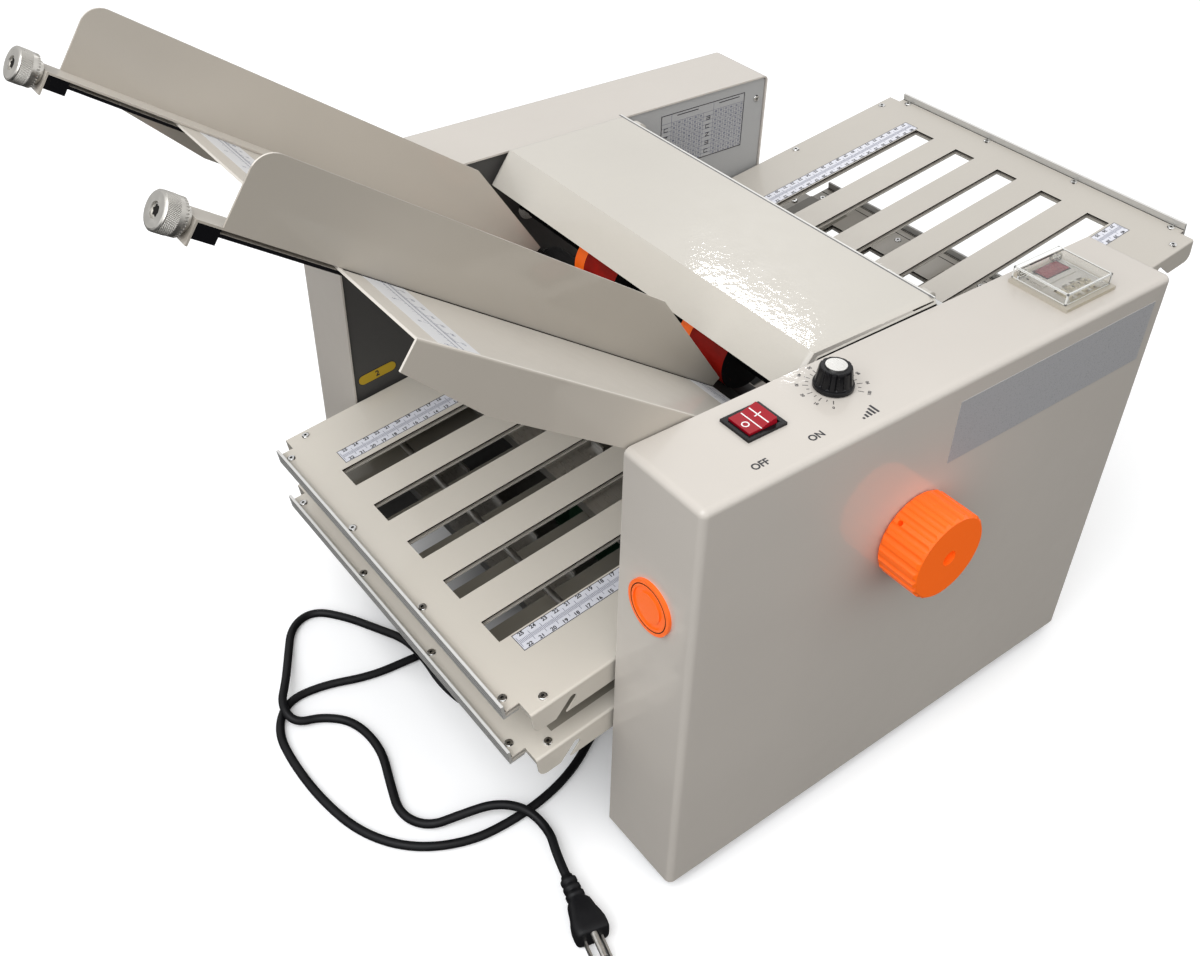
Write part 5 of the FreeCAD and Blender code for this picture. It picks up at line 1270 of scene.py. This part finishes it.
# The plug's sections, as place along it, half width, half height and squareness
PLUG_SECTIONS = (
    (0.000, 0.0044, 0.0044, 2.0), (0.003, 0.0046, 0.0046, 2.0), (0.0036, 0.0062, 0.006, 2.2),
    (0.0062, 0.0062, 0.006, 2.2), (0.0068, 0.0049, 0.0049, 2.0), (0.0092, 0.005, 0.005, 2.0),
    (0.0098, 0.0066, 0.0064, 2.2), (0.0124, 0.0066, 0.0064, 2.2), (0.013, 0.0053, 0.0052, 2.0),
    (0.0154, 0.0055, 0.0054, 2.0), (0.016, 0.0071, 0.0068, 2.3), (0.0186, 0.0071, 0.0068, 2.3),
    (0.0194, 0.0062, 0.006, 2.2), (0.0216, 0.0072, 0.0066, 2.6), (0.024, 0.0088, 0.0078, 3.0),
    (0.0275, 0.0095, 0.0084, 3.4), (0.032, 0.0102, 0.0088, 3.6), (0.037, 0.0118, 0.0094, 3.8),
    (0.042, 0.0129, 0.0098, 4.0), (0.0465, 0.013, 0.0099, 4.2), (0.05, 0.0127, 0.0098, 4.2),
    (0.0515, 0.0121, 0.0092, 4.0), (0.052, 0.0112, 0.0084, 4.0),
)
PLUG_STEPS = 40


def rounded(half_width, half_height, power):
    outline = []
    for index in range(PLUG_STEPS):
        angle = 2 * math.pi * index / PLUG_STEPS
        cosine = math.cos(angle)
        sine = math.sin(angle)
        u = half_width * math.copysign(abs(cosine) ** (2 / power), cosine)
        v = half_height * math.copysign(abs(sine) ** (2 / power), sine)
        outline.append((u, v))
    return outline


def make_plug():
    direction = Vector((*polar(1, math.radians(PLUG_TURN)), 0))
    start = Vector(CORD_ROUTE[-1])
    sideways = Vector((0, 0, 1)).cross(direction)
    rings = []
    for along, half_width, half_height, power in PLUG_SECTIONS:
        centre = start + direction * along
        outline = rounded(half_width, half_height, power)
        rings.append([centre + sideways * u + Vector((0, 0, v)) for u, v in outline])
    body = piece("mains_plug", *loft(rings), "cord_rubber", smooth=True)
    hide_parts("plug_body")
    return body


# Floor, lights and camera
def make_stage():
    corners = [(x * FLOOR_SIZE / 2, y * FLOOR_SIZE / 2, 0) for x, y in CORNERS]
    mesh = bpy.data.meshes.new("floor")
    mesh.from_pydata(corners, [], [(0, 1, 2, 3)])
    mesh.materials.append(stage_paint("floor_paint", FLOOR_TINT))
    floor = add_object("floor", mesh)
    floor.visible_diffuse = False
    floor.visible_glossy = False


def area_light(name, place, target, size, power, tint=(1, 1, 1), width=None, along=(1, 0, 0)):
    data = bpy.data.lights.new(name, "AREA")
    data.shape = "RECTANGLE"
    data.size = size
    data.size_y = width or size
    data.energy = power
    data.color = tint
    light = add_object(name, data)
    back = (Vector(place) - Vector(target)).normalized()
    long_side = (Vector(along) - back * back.dot(Vector(along))).normalized()
    turn = Matrix((long_side, back.cross(long_side), back)).transposed()
    light.location = place
    light.rotation_euler = turn.to_euler()


def make_sky():
    world = bpy.data.worlds.new("sky")
    world.use_nodes = True
    nodes = world.node_tree.nodes
    links = world.node_tree.links
    background = nodes["Background"]
    coordinates = nodes.new("ShaderNodeTexCoord")
    split = nodes.new("ShaderNodeSeparateXYZ")
    links.new(coordinates.outputs["Generated"], split.inputs["Vector"])
    height = remap(background, split.outputs["Z"], SKY_LOW, SKY_STRENGTH, *SKY_HORIZON)
    near = remap(background, split.outputs["Y"], *SKY_NEAR_SHARES, -1.0, 1.0)
    product = nodes.new("ShaderNodeMath")
    product.operation = "MULTIPLY"
    links.new(height, product.inputs[0])
    links.new(near, product.inputs[1])
    background.inputs["Color"].default_value = (*SKY_TINT, 1)
    links.new(product.outputs["Value"], background.inputs["Strength"])
    bpy.context.scene.world = world


def make_lights():
    area_light("key_light", **KEY_LIGHT)
    area_light("spark_light", **SPARK_LIGHT)
    bpy.context.scene.view_settings.view_transform = "Standard"


def make_camera():
    data = bpy.data.cameras.new("camera")
    data.sensor_width = CAMERA_SENSOR
    data.sensor_fit = "HORIZONTAL"
    data.lens = CAMERA_LENS
    data.shift_x, data.shift_y = CAMERA_SHIFT
    data.clip_start = CAMERA_CLIP
    camera = add_object("camera", data)
    camera.location = CAMERA_PLACE
    camera.rotation_euler = [math.radians(angle) for angle in CAMERA_TURN]
    bpy.context.scene.camera = camera


dress_nodes()
dress_faces()
dress_blocks()
dress_sockets()
make_camera()
make_sky()
make_lights()
make_stage()
make_cord()
make_plug()
make_rulers()
make_table_strips()
make_dial()
make_knob()
make_switch_words()
make_switch_marks()
make_counter_face()
make_counter_wheels()
make_side_label()
make_chart()
make_pill()
make_channel_lines()
make_tray_shade()
make_joints()
make_cap_ring()
make_lid_edges()
make_counter_ribs()
make_screw_heads()
